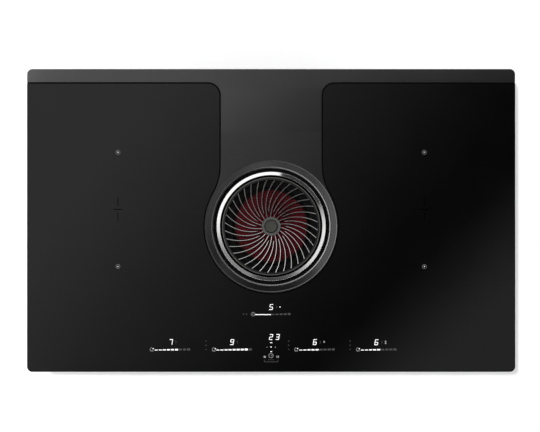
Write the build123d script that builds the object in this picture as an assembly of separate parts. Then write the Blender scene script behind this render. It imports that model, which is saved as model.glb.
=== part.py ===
from build123d import *
from math import asin, cos, degrees, radians, sin
import os

# Downdraft induction cooktop, in millimetres.
# +Z is up, +X is the user's right and +Y is the back. The origin is the centre of the plane
# where the rim's gasket rests on the worktop. The hob hangs below that plane and its glass
# stands a little above it.

# ---------------------------------------------------------------- rim and worktop cut-out
overall_width = 830.0
overall_depth = 515.0
overall_height = 212.0
rim_corner_radius = 9.0
rim_overlap = 11.5
glass_thickness = 4.0
glass_bevel = 0.6
gasket_thickness = 2.0
gasket_width = 6.5
gasket_inset = 4.0

# ---------------------------------------------------------------- T-shaped metal frame
frame_drop = 1.5
frame_joint = 1.5
strip_depth = 22.5
neck_width = 171.0
neck_corner_radius = 22.0
collar_width = 11.2
collar_fillet_radius = 92.0
rebate_reach = 8.0
rebate_thickness = 2.5
adhesive_thickness = 0.5
seal_drop = 0.9
dish_lip = 2.2
dish_step = 0.6
dish_slope_depth = 1.1
sleeve_wall = 3.5
sleeve_depth = 8.0
plate_edge_bevel = 0.4
dish_edge_width = 1.2
pocket_inset = 8.0
pocket_rib = 6.0

# ---------------------------------------------------------------- inlet well
well_radius = 98.4
well_wall = 2.0
well_lip_width = 3.4
well_lip_height = 1.9
grille_seat_z = -12.0
filter_seat_z = -22.0
throat_inset = 14.4
filter_ledge = 8.0
throat_lift = 0.5
chassis_hole_gap = 1.5
seat_gap = 0.2

# ---------------------------------------------------------------- grille
grille_gap = 5.3
trim_width = 6.4
trim_top_z = 5.0
trim_fall = 1.6
trim_wall = 2.0
insert_gap = 3.2
insert_rim_width = 1.6
insert_top_z = 3.0
insert_rim_reach = 4.5
rib_long_start = 15.0
rib_short_start = 24.0
rib_count = 36
rib_width = 1.6
rib_bottom_z = -3.0
rib_crest_centre_z = 3.4
rib_crest_rim_z = 1.6
spiral_twist_per_mm = 0.446
hub_outer_radius = 16.0
hub_inner_radius = 11.6
hub_cap_radius = 10.4

# ---------------------------------------------------------------- grease filter and liquid tray
filter_wall = 1.5
filter_depth = 26.0
screen_inset = 8.0
screen_slope_width = 6.0
screen_gap = 0.3
screen_thickness = 1.0
screen_rise = 3.0
filter_clearance = 0.8
tray_inset = 3.0
tray_taper = 3.0
tray_height = 22.0
tray_wall = 1.5
tray_knob_radius = 8.0

# ---------------------------------------------------------------- chassis tray
cutout_clearance = 5.5
sheet = 1.0
chassis_depth = 52.0
chassis_corner_radius = 6.0
chassis_flange = 6.0
chassis_back_flange = 4.0
bond_thickness = 0.8
slot_count = 5
slot_length = 64.0
slot_width = 5.0
slot_pitch = 14.0
wall_slot_count = 6
wall_slot_height = 24.0

# ---------------------------------------------------------------- induction zones
zone_side_gap = 138.0
zone_rear_y = 116.0
zone_front_y = -78.0
coil_width = 200.0
coil_depth = 184.0
coil_corner = 46.0
coil_hole = 66.0
coil_hole_flattening = 12.0
coil_hole_corner = 16.0
coil_groove_width = 3.0
coil_groove_depth = 1.2
winding_thickness = 5.0
carrier_thickness = 2.0
carrier_margin = 2.0
ferrite_length = 54.0
ferrite_width = 14.0
ferrite_thickness = 4.0
ferrite_count = 8
ferrite_start = 22.0
mica_thickness = 1.0
mica_gap = 0.5
sensor_radius = 7.0
support_sheet = 1.5
support_margin = 5.0
support_window_inset = 9.0

# ---------------------------------------------------------------- electronics
board_thickness = 1.6
board_lift = 5.0
board_length = 210.0
board_width = 180.0
spacer_radius = 4.0
heatsink_length = 150.0
heatsink_width = 54.0
heatsink_height = 26.0
heatsink_base = 4.0
heatsink_front_gap = 16.0
fin_count = 11
fin_thickness = 1.6
film_capacitor_width = 28.0
film_capacitor_depth = 32.0
film_capacitor_height = 24.0
round_capacitor_radius = 13.0
round_capacitor_height = 27.0
capacitor_offset = 58.0
fan_size = 92.0
fan_height = 25.0
fan_bore = 43.5
fan_back_offset = 18.0
fan_boss_radius = 5.0
fan_boss_height = 8.0
fan_hub_radius = 17.0
fan_blade_count = 7
fan_tip_gap = 1.5
fan_blade_chord = 18.0
fan_blade_slant = 38.0
fan_arm_width = 5.0
fan_arm_thickness = 2.0
touch_width = 436.0
touch_depth = 48.0
touch_tongue_width = 90.0
touch_tongue_overlap = 1.0
fan_slider_inset = 30.0
fan_slider_size = (72.0, 8.0)
touch_front_gap = 23.5
light_guide_gap = 0.3
light_guide_thickness = 4.2
slider_window = (60.0, 8.0)
number_window = (16.0, 12.0)

# ---------------------------------------------------------------- air box and blower
air_box_half_width = 168.0
air_box_wall = 2.5
air_box_flange = 12.0
air_box_front_reach = 118.0
air_box_back_gap = 4.5
air_box_corner_radius = 18.0
air_box_rib_count = 5
air_box_rib_thickness = 2.5
air_box_rib_reach = 9.0
blower_back_gap = 22.5
blower_well_gap = 12.0
blower_drop = 52.0
scroll_gap = 7.5
scroll_wall = 2.0
scroll_half_width = 107.0
scroll_tongue_rise = 3.2708
eye_inset = 14.0
impeller_radius = 66.0
blade_depth = 11.0
impeller_side_gap = 8.0
blade_count = 20
blade_thickness = 1.6
shaft_radius = 4.0
running_gap = 0.05
motor_radius = 34.0
motor_start = 14.0
motor_length = 80.0
bracket_thickness = 3.0

# ---------------------------------------------------------------- outlet
duct_width = 222.0
duct_height = 89.0
duct_wall = 2.0
duct_length = 7.0
spigot_flange = 10.0
sleeve_gap = 0.3
sleeve_length = 17.0
sleeve_thickness = 1.7
flap_count = 3
flap_hinge_setback = 3.0
flap_thickness = 1.2
flap_barrel_radius = 1.9
flap_pin_radius = 1.5
flap_gap = 0.7

# ---------------------------------------------------------------- fasteners, clamps, mains entry
clamp_length = 62.0
clamp_width = 18.0
clamp_thickness = 3.0
clamp_inset_x = 20.0
clamp_inset_y = 62.0
clamp_screw_radius = 2.5
clamp_screw_head_radius = 5.0
clamp_gap = 0.4
clamp_head_height = 3.3
clamp_groove_depth = 0.8
small_screw_radius = 1.8
small_screw_head_radius = 4.0
small_screw_head_height = 2.2
screw_hole_gap = 0.3
terminal_width = 92.0
terminal_depth = 70.0
terminal_height = 34.0
terminal_wall = 2.0
terminal_block_size = (78.0, 16.0, 15.0)
terminal_ways = 6
lead_hole_width = 30.0
terminal_clamp_gap = 8.0
terminal_inset_y = 20.0
gland_bore_radius = 5.5
gland_hex_radius = 12.0
gland_reach = 18.0
gland_hex_length = 6.0
gland_nut_length = 4.0

# ---------------------------------------------------------------- levels and places worked out
dish_floor_radius = well_radius + well_lip_width
collar_radius = dish_floor_radius + collar_width
throat_radius = well_radius - throat_inset
filter_seat_radius = throat_radius - filter_ledge
throat_bottom_z = -chassis_depth + throat_lift
trim_outer_radius = well_radius - grille_gap
trim_inner_radius = trim_outer_radius - trim_width
insert_radius = trim_inner_radius - insert_gap
rib_root_radius = insert_radius - insert_rim_reach
screen_radius = filter_seat_radius - screen_inset
tray_radius = filter_seat_radius - tray_inset
half_width = overall_width / 2
half_depth = overall_depth / 2
glass_bottom_z = gasket_thickness
glass_top_z = glass_bottom_z + glass_thickness
frame_top_z = glass_top_z - frame_drop
base_z = glass_top_z - overall_height
strip_front_y = half_depth - strip_depth
tray_x = half_width - rim_overlap - cutout_clearance
tray_y = half_depth - rim_overlap - cutout_clearance
zone_x = tray_x - zone_side_gap
floor_z = -chassis_depth + sheet
flange_top_z = glass_bottom_z - bond_thickness
rebate_top_z = glass_bottom_z - adhesive_thickness
rebate_bottom_z = rebate_top_z - rebate_thickness
dish_floor_z = frame_top_z - dish_step - dish_slope_depth
mica_top_z = glass_bottom_z - mica_gap
winding_top_z = mica_top_z - mica_thickness
carrier_top_z = winding_top_z - winding_thickness
ferrite_top_z = carrier_top_z - carrier_thickness
support_top_z = ferrite_top_z - ferrite_thickness
blower_y = tray_y - blower_back_gap - impeller_radius
collar_centre_y = blower_y - impeller_radius - throat_radius - blower_well_gap
air_box_back_y = tray_y - air_box_back_gap
air_box_front_y = collar_centre_y - air_box_front_reach
air_floor_z = base_z + air_box_wall
blower_axis_z = -chassis_depth - blower_drop
impeller_inner_radius = impeller_radius - blade_depth
scroll_start_radius = impeller_radius + scroll_gap
eye_radius = impeller_radius - eye_inset
scroll_bottom_z = air_floor_z + scroll_wall
scroll_end_radius = blower_axis_z - scroll_bottom_z
duct_middle_z = air_floor_z - 0.5 + duct_height / 2
exit_top_z = 2 * duct_middle_z - scroll_bottom_z
scroll_start_level = exit_top_z + scroll_tongue_rise - blower_axis_z
scroll_start_angle = degrees(asin(scroll_start_level / scroll_start_radius))
exit_end_y = air_box_back_y - air_box_wall - sleeve_gap
spigot_end_y = air_box_back_y + air_box_wall + duct_length
spread = small_screw_radius + screw_hole_gap
bracket_x = scroll_half_width + scroll_wall + 4


def slab(x_low, x_high, y_low, y_high, z_low, z_high):
    """A block given by its six sides."""
    middle = ((x_low + x_high) / 2, (y_low + y_high) / 2, (z_low + z_high) / 2)
    return Pos(*middle) * Box(x_high - x_low, y_high - y_low, z_high - z_low)


def rise(outline, z_low, z_high):
    """A flat outline made into a plate between two levels."""
    return extrude(Pos(0, 0, z_low) * outline, z_high - z_low)


def disc(radius, z_low, z_high, x=0.0, y=0.0):
    """An upright cylinder between two levels."""
    return Pos(x, y, (z_low + z_high) / 2) * Cylinder(radius, z_high - z_low)


def ring(outer, inner, z_low, z_high, x=0.0, y=0.0):
    """An upright tube between two levels."""
    return disc(outer, z_low, z_high, x, y) - disc(inner, z_low, z_high, x, y)


def turned(*profile):
    """A profile of (radius, level) points turned about the inlet's upright axis."""
    outline = make_face(Polyline(*[(r, 0, z) for r, z in profile], close=True))
    return Pos(0, collar_centre_y, 0) * revolve(outline, Axis.Z)


def rim_outline(inset=0.0, radius=rim_corner_radius):
    return RectangleRounded(overall_width - 2 * inset, overall_depth - 2 * inset, radius)


def tee_outline(grow=0.0):
    """The T of the metal frame: back strip, neck and round collar, grown on every side."""
    half_neck = neck_width / 2 + grow
    front = strip_front_y - grow
    back = half_depth + rim_overlap
    strip = Pos(0, (front + back) / 2) * Rectangle(overall_width + 2 * rim_overlap, back - front)
    neck = Pos(0, (front + 1 + collar_centre_y) / 2) * Rectangle(2 * half_neck, front + 1 - collar_centre_y)
    tee = strip + neck + Pos(0, collar_centre_y) * Circle(collar_radius + grow)
    corners = [v for v in tee.vertices() if abs(abs(v.X) - half_neck) < 0.01 and abs(v.Y - front) < 0.01]
    tee = fillet(corners, neck_corner_radius - grow)
    shoulders = [v for v in tee.vertices() if abs(abs(v.X) - half_neck) < 0.01 and v.Y < strip_front_y / 2]
    return fillet(shoulders, collar_fillet_radius - grow)


def octagon(width, depth, corner):
    return chamfer(Rectangle(width, depth).vertices(), corner)


# ================================================================ top
def glass_top():
    """One sheet of glass ceramic, cut out for the T-shaped frame, with ground edges."""
    plate = rise(rim_outline() - tee_outline(frame_joint), glass_bottom_z, glass_top_z)
    upper_edges = plate.faces().sort_by(Axis.Z)[-1].outer_wire().edges()
    return chamfer(upper_edges, glass_bevel)


def rebate_limits():
    """Where the frame's rebate may run without meeting the chassis walls and flanges."""
    side = tray_x - 3 * chassis_flange
    back = tray_y - chassis_back_flange - 0.5
    front = collar_centre_y - 2 * collar_radius
    return Pos(0, (back + front) / 2) * Rectangle(2 * side, back - front)


def t_frame():
    """Cast frame: visible plate, rebate that carries the glass edges, dished collar and sleeve."""
    visible = tee_outline() & rim_outline()
    inner = tee_outline() & rebate_limits()
    rebate = tee_outline(rebate_reach) & rebate_limits()
    plate = rise(visible, glass_bottom_z, frame_top_z)
    plate = chamfer(plate.faces().sort_by(Axis.Z)[-1].outer_wire().edges(), plate_edge_bevel)
    body = plate + rise(inner, rebate_bottom_z, glass_bottom_z) + rise(rebate, rebate_bottom_z, rebate_top_z)
    sleeve_outer = dish_floor_radius - 0.6 + sleeve_wall
    body += ring(sleeve_outer, 1, rebate_bottom_z - sleeve_depth, rebate_bottom_z, 0, collar_centre_y)
    dish_radius = collar_radius - dish_lip
    dish = turned(
        (0, glass_top_z), (dish_radius + dish_edge_width, glass_top_z),
        (dish_radius + dish_edge_width, frame_top_z), (dish_radius, frame_top_z - dish_step),
        (dish_floor_radius, dish_floor_z), (0, dish_floor_z),
    )
    bore = disc(dish_floor_radius - 0.8, base_z, glass_top_z, 0, collar_centre_y)
    pocket_half = neck_width / 2 - pocket_inset
    pocket_front = collar_centre_y + collar_radius + 2 * pocket_rib
    pocket_back = strip_front_y - pocket_rib
    pockets = slab(-pocket_half, -pocket_rib / 2, pocket_front, pocket_back, rebate_bottom_z, glass_bottom_z)
    pockets += slab(pocket_rib / 2, pocket_half, pocket_front, pocket_back, rebate_bottom_z, glass_bottom_z)
    return body - dish - bore - pockets


def joint_seal():
    """Sealant between glass and frame, with the thin bed that the glass edges lie on."""
    gap = (tee_outline(frame_joint) - tee_outline()) & rim_outline(glass_bevel)
    bed = (tee_outline(rebate_reach) - tee_outline()) & rebate_limits()
    return rise(gap, glass_bottom_z, frame_top_z - seal_drop) + rise(bed, rebate_top_z, glass_bottom_z)


def rim_gasket():
    outer = rim_outline(gasket_inset, rim_corner_radius)
    inner = rim_outline(gasket_inset + gasket_width, rim_corner_radius / 2)
    return rise(outer - inner, 0, gasket_thickness)


def glass_adhesive():
    """Bead that bonds the glass and the frame's strip to the chassis flange."""
    outer = Rectangle(2 * tray_x - 1, 2 * tray_y - 1)
    side = tray_x - chassis_flange + 1
    front = -tray_y + chassis_flange - 1
    back = tray_y - chassis_back_flange + 0.5
    inner = Pos(0, (front + back) / 2) * Rectangle(2 * side, back - front)
    return rise(outer - inner, flange_top_z, glass_bottom_z)


# ================================================================ inlet, grille, filter
def inlet_well():
    """Deep-drawn well: rolled lip on the collar, seat for the grille, seat for the filter."""
    lip_outer = well_radius + well_lip_width
    lip_centre = (well_radius + lip_outer) / 2
    outer_wall = well_radius + well_wall
    crown = dish_floor_z + well_lip_height
    profile = (
        (well_radius, grille_seat_z), (well_radius, crown - 0.9), (lip_centre - 0.8, crown),
        (lip_centre + 0.8, crown), (lip_outer, crown - 0.9),
        (lip_outer, dish_floor_z), (outer_wall, dish_floor_z), (outer_wall, grille_seat_z - well_wall),
        (throat_radius + well_wall, grille_seat_z - well_wall), (throat_radius + well_wall, throat_bottom_z),
        (throat_radius, throat_bottom_z), (throat_radius, filter_seat_z - well_wall),
        (filter_seat_radius, filter_seat_z - well_wall), (filter_seat_radius, filter_seat_z),
        (throat_radius, filter_seat_z), (throat_radius, grille_seat_z),
    )
    return turned(*profile)


def grille_ring():
    """Trim ring: sloping polished band, skirt that stands on the well's seat, inner ledge."""
    ledge_top = rib_bottom_z
    ledge_bottom = ledge_top - 2
    skirt_inner = trim_outer_radius - trim_wall
    foot = grille_seat_z + seat_gap
    profile = (
        (trim_inner_radius, trim_top_z - 0.5), (trim_inner_radius + 0.5, trim_top_z),
        (trim_outer_radius - 0.5, trim_top_z - trim_fall), (trim_outer_radius, trim_top_z - trim_fall - 0.5),
        (trim_outer_radius, foot), (skirt_inner, foot), (skirt_inner, ledge_bottom),
        (rib_root_radius + 1, ledge_bottom), (rib_root_radius + 1, ledge_top), (trim_inner_radius, ledge_top),
    )
    return turned(*profile)


def spiral_point(radius, start_angle):
    """A point of a rib: the turn about the centre grows in proportion to the radius."""
    angle = radians(90 - start_angle - spiral_twist_per_mm * (radius - rib_short_start))
    return (radius * cos(angle), radius * sin(angle))


def spiral_rib(start_radius, start_angle):
    """One rib in plan: an arc through three points of the spiral. A free inner end is blunt."""
    middle = (start_radius + rib_root_radius) / 2 + 1
    path = ThreePointArc(
        spiral_point(start_radius, start_angle), spiral_point(middle, start_angle),
        spiral_point(rib_root_radius + 0.8, start_angle),
    )
    rib = trace(path, line_width=rib_width)
    if start_radius > hub_outer_radius:
        rib += Pos(*spiral_point(start_radius, start_angle)) * RegularPolygon(rib_width * 0.8, 6)
    return rib


def grille_ribs():
    """Spiral insert: alternating long and short ribs under one shallow dome, rim and hub ring."""
    step = 360 / rib_count
    ribs = []
    for number in range(rib_count):
        start = rib_long_start if number % 2 == 0 else rib_short_start
        ribs.append(rise(spiral_rib(start, number * step), rib_bottom_z, insert_top_z + 3))
    dome_fall = rib_crest_centre_z - rib_crest_rim_z
    dome_radius = (rib_root_radius ** 2 + dome_fall ** 2) / (2 * dome_fall)
    dome = Pos(0, 0, rib_crest_centre_z - dome_radius) * Sphere(dome_radius)
    field = Part() + ribs
    field = field & (dome & disc(rib_root_radius + 0.9, rib_bottom_z - 1, insert_top_z + 4))
    rim = ring(insert_radius, rib_root_radius, rib_bottom_z, rib_crest_rim_z + 0.2)
    rim += ring(insert_radius, insert_radius - insert_rim_width, rib_bottom_z, insert_top_z)
    hub = disc(hub_outer_radius, rib_bottom_z, rib_crest_centre_z + 0.5)
    hub = chamfer(hub.faces().sort_by(Axis.Z)[-1].edges(), 0.8)
    hub -= disc(hub_inner_radius, rib_bottom_z + 2, insert_top_z + 4)
    return Pos(0, collar_centre_y, 0) * (field + rim + hub)


def hub_cap():
    cap = disc(hub_cap_radius, rib_bottom_z + 2, rib_crest_centre_z, 0, collar_centre_y)
    return chamfer(cap.faces().sort_by(Axis.Z)[-1].edges(), 0.7)


filter_foot_z = filter_seat_z + seat_gap
filter_top_z = filter_foot_z + filter_wall
filter_floor_z = filter_foot_z - filter_depth
cup_radius = filter_seat_radius - filter_clearance


def filter_frame():
    """Cup that hangs by its flange on the well's lower seat, open in the middle of its floor."""
    flange_radius = throat_radius - filter_clearance
    inner = cup_radius - filter_wall
    opening = inner - 12
    return turned(
        (flange_radius, filter_foot_z), (flange_radius, filter_top_z), (screen_radius, filter_top_z),
        (screen_radius, filter_top_z - filter_wall), (inner, filter_top_z - filter_wall),
        (inner, filter_floor_z + filter_wall), (opening, filter_floor_z + filter_wall),
        (opening, filter_floor_z), (cup_radius, filter_floor_z), (cup_radius, filter_foot_z),
    )


def filter_screen():
    """Perforated screen, raised a little above the frame's flange in a shallow pan shape."""
    top = filter_top_z + screen_rise
    return turned(
        (0, top), (screen_radius - screen_slope_width, top), (screen_radius - screen_gap, filter_top_z),
        (screen_radius - screen_gap, filter_top_z - screen_thickness),
        (screen_radius - screen_slope_width - 0.4, top - screen_thickness),
        (0, top - screen_thickness),
    )


def filter_media():
    top = filter_top_z - filter_wall - 0.2
    return disc(cup_radius - filter_wall - 0.2, filter_floor_z + filter_wall, top, 0, collar_centre_y)


def liquid_tray():
    """Round cup on the air box floor that catches spills, lifted out by its middle knob."""
    low = air_floor_z + seat_gap
    return turned(
        (0, low), (tray_radius - tray_taper, low), (tray_radius, low + tray_height),
        (tray_radius - tray_wall, low + tray_height), (tray_radius - tray_taper - tray_wall, low + tray_wall),
        (tray_knob_radius * 0.6, low + tray_wall), (tray_knob_radius, low + tray_height),
        (0, low + tray_height),
    )


# ================================================================ chassis
def tray_slots(x_middle, y_middle):
    """Air slots in the chassis floor under a cooling fan, as an array along Y."""
    first = -(slot_count - 1) / 2
    slots = [
        Pos(x_middle, y_middle + (first + number) * slot_pitch) * Rectangle(slot_length, slot_width)
        for number in range(slot_count)
    ]
    return rise(Sketch() + slots, -chassis_depth - 1, floor_z + 1)


board_low_z = floor_z + board_lift
board_top_z = board_low_z + board_thickness
board_y_low = zone_front_y - 85
board_y_high = board_y_low + board_length
fan_y = zone_rear_y + fan_back_offset


def clamp_places():
    x = tray_x - clamp_inset_x
    y = tray_y - clamp_inset_y
    return {"front_left": (-x, -y), "front_right": (x, -y), "rear_left": (-x, y), "rear_right": (x, y)}


def air_box_screw_places():
    """Screws through the air box flange into the chassis floor: two on each side."""
    x = air_box_half_width + air_box_flange / 2
    y_first = air_box_front_y + air_box_corner_radius
    y_last = air_box_back_y - air_box_corner_radius
    return [(side * x, y) for side in (-1, 1) for y in (y_first, y_last)]


def small_holes(places, z_low, z_high):
    hole = rise(RegularPolygon(spread, 6), z_low, z_high)
    return Part() + [Pos(x, y, 0) * hole for x, y in places]


terminal_x_high = -tray_x + clamp_inset_x + clamp_width / 2 + terminal_clamp_gap + terminal_width
terminal_y_high = tray_y - terminal_inset_y
terminal_x = terminal_x_high - terminal_width / 2
terminal_y = terminal_y_high - terminal_depth / 2
terminal_low_z = -chassis_depth - terminal_height


def lead_hole_outline():
    return Pos(terminal_x, terminal_y) * Rectangle(lead_hole_width, lead_hole_width)


def chassis_tray():
    """Sheet-metal tray under the glass: bonded flange, vents, one opening for well and blower."""
    outer = rise(RectangleRounded(2 * tray_x, 2 * tray_y, chassis_corner_radius), -chassis_depth, flange_top_z)
    inside = RectangleRounded(2 * (tray_x - sheet), 2 * (tray_y - sheet), chassis_corner_radius - sheet)
    tray = outer - rise(inside, floor_z, flange_top_z - sheet)
    side = tray_x - chassis_flange
    front = -tray_y + chassis_flange
    back = tray_y - chassis_back_flange
    tray -= slab(-side, side, front, back, flange_top_z - sheet, flange_top_z)
    below = -chassis_depth
    throat_reach = throat_radius + well_wall + chassis_hole_gap
    hole_x = max(bracket_x + bracket_thickness + 3, throat_reach)
    tray -= slab(-hole_x, hole_x, collar_centre_y - throat_reach, blower_y + scroll_start_radius, below, floor_z)
    for way in (-1, 1):
        tray -= tray_slots(way * zone_x, fan_y)
        pitch = (tray_x - air_box_half_width - 40) / wall_slot_count
        for number in range(wall_slot_count):
            x = way * (air_box_half_width + 20 + (number + 0.5) * pitch)
            z_low = -chassis_depth / 2 - wall_slot_height / 2
            tray -= slab(x - 2, x + 2, -tray_y, -tray_y + sheet, z_low, z_low + wall_slot_height)
    tray -= small_holes(air_box_screw_places(), below, floor_z)
    for x, y in clamp_places().values():
        tray -= disc(clamp_screw_radius + screw_hole_gap, below, floor_z, x, y)
    return tray - rise(lead_hole_outline(), below, floor_z)


# ================================================================ induction zones
def zone_places(side):
    return [(side * zone_x, zone_rear_y), (side * zone_x, zone_front_y)]


def coil(x, y):
    """Flat winding: an eight-sided band with shallow grooves between its bundles of turns."""
    hole_depth = coil_hole - coil_hole_flattening
    band = octagon(coil_width, coil_depth, coil_corner) - octagon(coil_hole, hole_depth, coil_hole_corner)
    body = rise(band, carrier_top_z, winding_top_z)
    for share in (0.35, 0.7):
        wide = coil_hole + share * (coil_width - coil_hole)
        deep = hole_depth + share * (coil_depth - hole_depth)
        corner = coil_hole_corner + share * (coil_corner - coil_hole_corner)
        inner = octagon(wide - coil_groove_width, deep - coil_groove_width, corner - 1)
        groove = octagon(wide, deep, corner) - inner
        body -= rise(groove, winding_top_z - coil_groove_depth, winding_top_z)
    return Pos(x, y, 0) * body


def coil_carriers():
    """The plates that hold the four windings, with a hole in the middle of each for its sensor."""
    outline = octagon(coil_width + carrier_margin, coil_depth + carrier_margin, coil_corner)
    plate = rise(outline - RegularPolygon(sensor_radius + 1, 8), ferrite_top_z, carrier_top_z)
    places = zone_places(-1) + zone_places(1)
    return Compound(children=[Pos(x, y, 0) * plate for x, y in places])


def coil_ferrites():
    """Eight flat ferrite bars under each winding, set like spokes."""
    bars = []
    for x, y in zone_places(-1) + zone_places(1):
        for number in range(ferrite_count):
            reach = ferrite_start + ferrite_length / 2
            bar = Pos(reach, 0, ferrite_top_z - ferrite_thickness / 2)
            bar = bar * Box(ferrite_length, ferrite_width, ferrite_thickness)
            bars.append(Pos(x, y, 0) * Rot(0, 0, (number + 0.5) * 360 / ferrite_count) * bar)
    return Compound(children=bars)


def coil_sensors():
    sensor = rise(RegularPolygon(sensor_radius, 8), support_top_z, glass_bottom_z - 0.1)
    return Compound(children=[Pos(x, y, 0) * sensor for x, y in zone_places(-1) + zone_places(1)])


support_x_low = zone_x - coil_width / 2 - support_margin
support_x_high = zone_x + coil_width / 2 + support_margin
support_y_low = zone_front_y - coil_depth / 2 - support_margin
support_y_high = zone_rear_y + coil_depth / 2 + support_margin


def mica_sheets():
    """Insulating sheets between the windings and the glass, one for each pair of zones."""
    sheets = []
    for side in (-1, 1):
        x_low, x_high = sorted((side * (support_x_low + 2), side * (support_x_high - 2)))
        plate = slab(x_low, x_high, support_y_low + 2, support_y_high - 2, winding_top_z, mica_top_z)
        for x, y in zone_places(side):
            plate -= Pos(x, y, 0) * rise(RegularPolygon(sensor_radius + 1, 8), winding_top_z, mica_top_z)
        sheets.append(plate)
    return Compound(children=sheets)


def support_plate(side):
    """Aluminium plate on two folded legs that carries a pair of coils above the boards."""
    x_low, x_high = sorted((side * support_x_low, side * support_x_high))
    block = slab(x_low, x_high, support_y_low, support_y_high, floor_z, support_top_z)
    hollow = slab(
        x_low + support_sheet, x_high - support_sheet, support_y_low - 1, support_y_high + 1,
        floor_z, support_top_z - support_sheet,
    )
    low = floor_z + support_window_inset
    high = support_top_z - support_window_inset
    window = slab(x_low - 1, x_high + 1, zone_front_y - 60, zone_front_y + 60, low, high)
    second = slab(x_low - 1, x_high + 1, zone_rear_y - 50, zone_rear_y + 60, low, high)
    return block - hollow - window - second


# ================================================================ electronics
def power_board(side):
    x = side * zone_x
    half = board_width / 2
    return slab(x - half, x + half, board_y_low, board_y_high, board_low_z, board_top_z)


def board_spacer_places():
    x = board_width / 2 - 10
    return [
        (side * zone_x + way * x, y)
        for side in (-1, 1) for way in (-1, 1) for y in (board_y_low + 10, board_y_high - 10)
    ]


def board_spacers():
    hexagon = rise(RegularPolygon(spacer_radius, 6), floor_z, board_low_z)
    return Compound(children=[Pos(x, y, 0) * hexagon for x, y in board_spacer_places()])


def heatsink(side):
    """Extruded heatsink on the power board: a base with upright fins along the air stream."""
    x = side * zone_x
    y_low = board_y_high - heatsink_length - heatsink_front_gap
    half = heatsink_width / 2
    body = slab(x - half, x + half, y_low, y_low + heatsink_length, board_top_z, board_top_z + heatsink_base)
    pitch = (heatsink_width - fin_thickness) / (fin_count - 1)
    for number in range(fin_count):
        left = x - half + number * pitch
        body += slab(
            left, left + fin_thickness, y_low, y_low + heatsink_length,
            board_top_z + heatsink_base, board_top_z + heatsink_height,
        )
    return body


def board_components():
    """Large parts on the power boards: four film capacitors and one round capacitor on each."""
    blocks = []
    for side in (-1, 1):
        x = side * zone_x
        for way in (-1, 1):
            for y in (board_y_low + 46, board_y_low + 92):
                size = (film_capacitor_width, film_capacitor_depth, film_capacitor_height)
                middle = Pos(x + way * capacitor_offset, y, board_top_z + film_capacitor_height / 2)
                blocks.append(middle * Box(*size))
        top = board_top_z + round_capacitor_height
        blocks.append(disc(round_capacitor_radius, board_top_z, top, x + capacitor_offset, board_y_high - 44))
    return Compound(children=blocks)


def fan_housing(side):
    """Square frame of a cooling fan with four arms that carry the rotor's post."""
    high = floor_z + fan_height
    arm_top = floor_z + fan_arm_thickness
    half_arm = fan_arm_width / 2
    frame = rise(octagon(fan_size, fan_size, 5), floor_z, high) - disc(fan_bore, floor_z, high)
    arms = Part()
    for number in range(4):
        arms += Rot(0, 0, 45 + 90 * number) * slab(0, fan_bore + 2, -half_arm, half_arm, floor_z, arm_top)
    plate = disc(fan_hub_radius, floor_z, arm_top)
    post = disc(fan_boss_radius, arm_top, arm_top + fan_boss_height)
    return Pos(side * zone_x, fan_y, 0) * (frame + arms + plate + post)


def fan_rotor(side):
    """Cooling fan rotor: cup-shaped hub over the post and slanted blades."""
    low = floor_z + 3.5
    high = floor_z + fan_height - 1.5
    socket_top = floor_z + fan_arm_thickness + fan_boss_height + 1
    hub = disc(fan_hub_radius, low, high) - disc(fan_boss_radius + 0.4, low, socket_top)
    reach = fan_bore - fan_tip_gap - 1.5
    root = fan_hub_radius - 1.5
    blade = Pos((reach + root) / 2, 0, (low + high) / 2) * Rot(-side * fan_blade_slant, 0, 0)
    blade *= Box(reach - root, fan_blade_chord, blade_thickness)
    blades = [Rot(0, 0, 360 / fan_blade_count * number) * blade for number in range(fan_blade_count)]
    return Pos(side * zone_x, fan_y, 0) * (hub + blades)


touch_front_y = -half_depth + touch_front_gap
touch_back_y = touch_front_y + touch_depth
guide_top_z = glass_bottom_z - light_guide_gap
guide_low_z = guide_top_z - light_guide_thickness
touch_low_z = guide_low_z - board_thickness
tongue_end_y = collar_centre_y - collar_radius - rebate_reach + touch_tongue_overlap
touch_tongue_depth = tongue_end_y - touch_back_y


def touch_outline(margin=0.0):
    """The control strip with its tongue towards the grille."""
    strip = Pos(0, (touch_front_y + touch_back_y) / 2)
    strip = strip * Rectangle(touch_width - 2 * margin, touch_depth - 2 * margin)
    tongue = Pos(0, touch_back_y + touch_tongue_depth / 2 - margin)
    return strip + tongue * Rectangle(touch_tongue_width - 2 * margin, touch_tongue_depth)


def touch_board():
    return rise(touch_outline(), touch_low_z, guide_low_z)


def light_guide():
    """Black frame over the touch board with a window for each lit slider and number."""
    guide = rise(touch_outline(1.0), guide_low_z, guide_top_z)
    pitch = touch_width / 4.25
    for number in (-1.5, -0.55, 0.55, 1.5):
        x = number * pitch
        guide -= rise(Pos(x, touch_front_y + 14) * Rectangle(*slider_window), guide_low_z, guide_top_z)
        guide -= rise(Pos(x, touch_front_y + 28) * Rectangle(*number_window), guide_low_z, guide_top_z)
    guide -= slab(-10, 10, touch_front_y + 22, touch_front_y + 38, guide_low_z, guide_top_z)
    fan_slider = Pos(0, tongue_end_y - fan_slider_inset - fan_slider_size[1] / 2)
    return guide - rise(fan_slider * Rectangle(*fan_slider_size), guide_low_z, guide_top_z)


def touch_bracket():
    """Folded bracket that carries the touch board on the chassis floor."""
    half = touch_width / 3
    top = touch_low_z
    low = touch_front_y + 6
    high = touch_back_y - 4
    plate = slab(-half, half, low, high, top - support_sheet, top)
    for way in (-1, 1):
        x_low, x_high = sorted((way * half, way * (half - support_sheet)))
        plate += slab(x_low, x_high, low, high, floor_z, top - support_sheet)
        foot_low, foot_high = sorted((way * (half - support_sheet), way * (half - 14)))
        plate += slab(foot_low, foot_high, low, high, floor_z, floor_z + support_sheet)
    return plate


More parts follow.
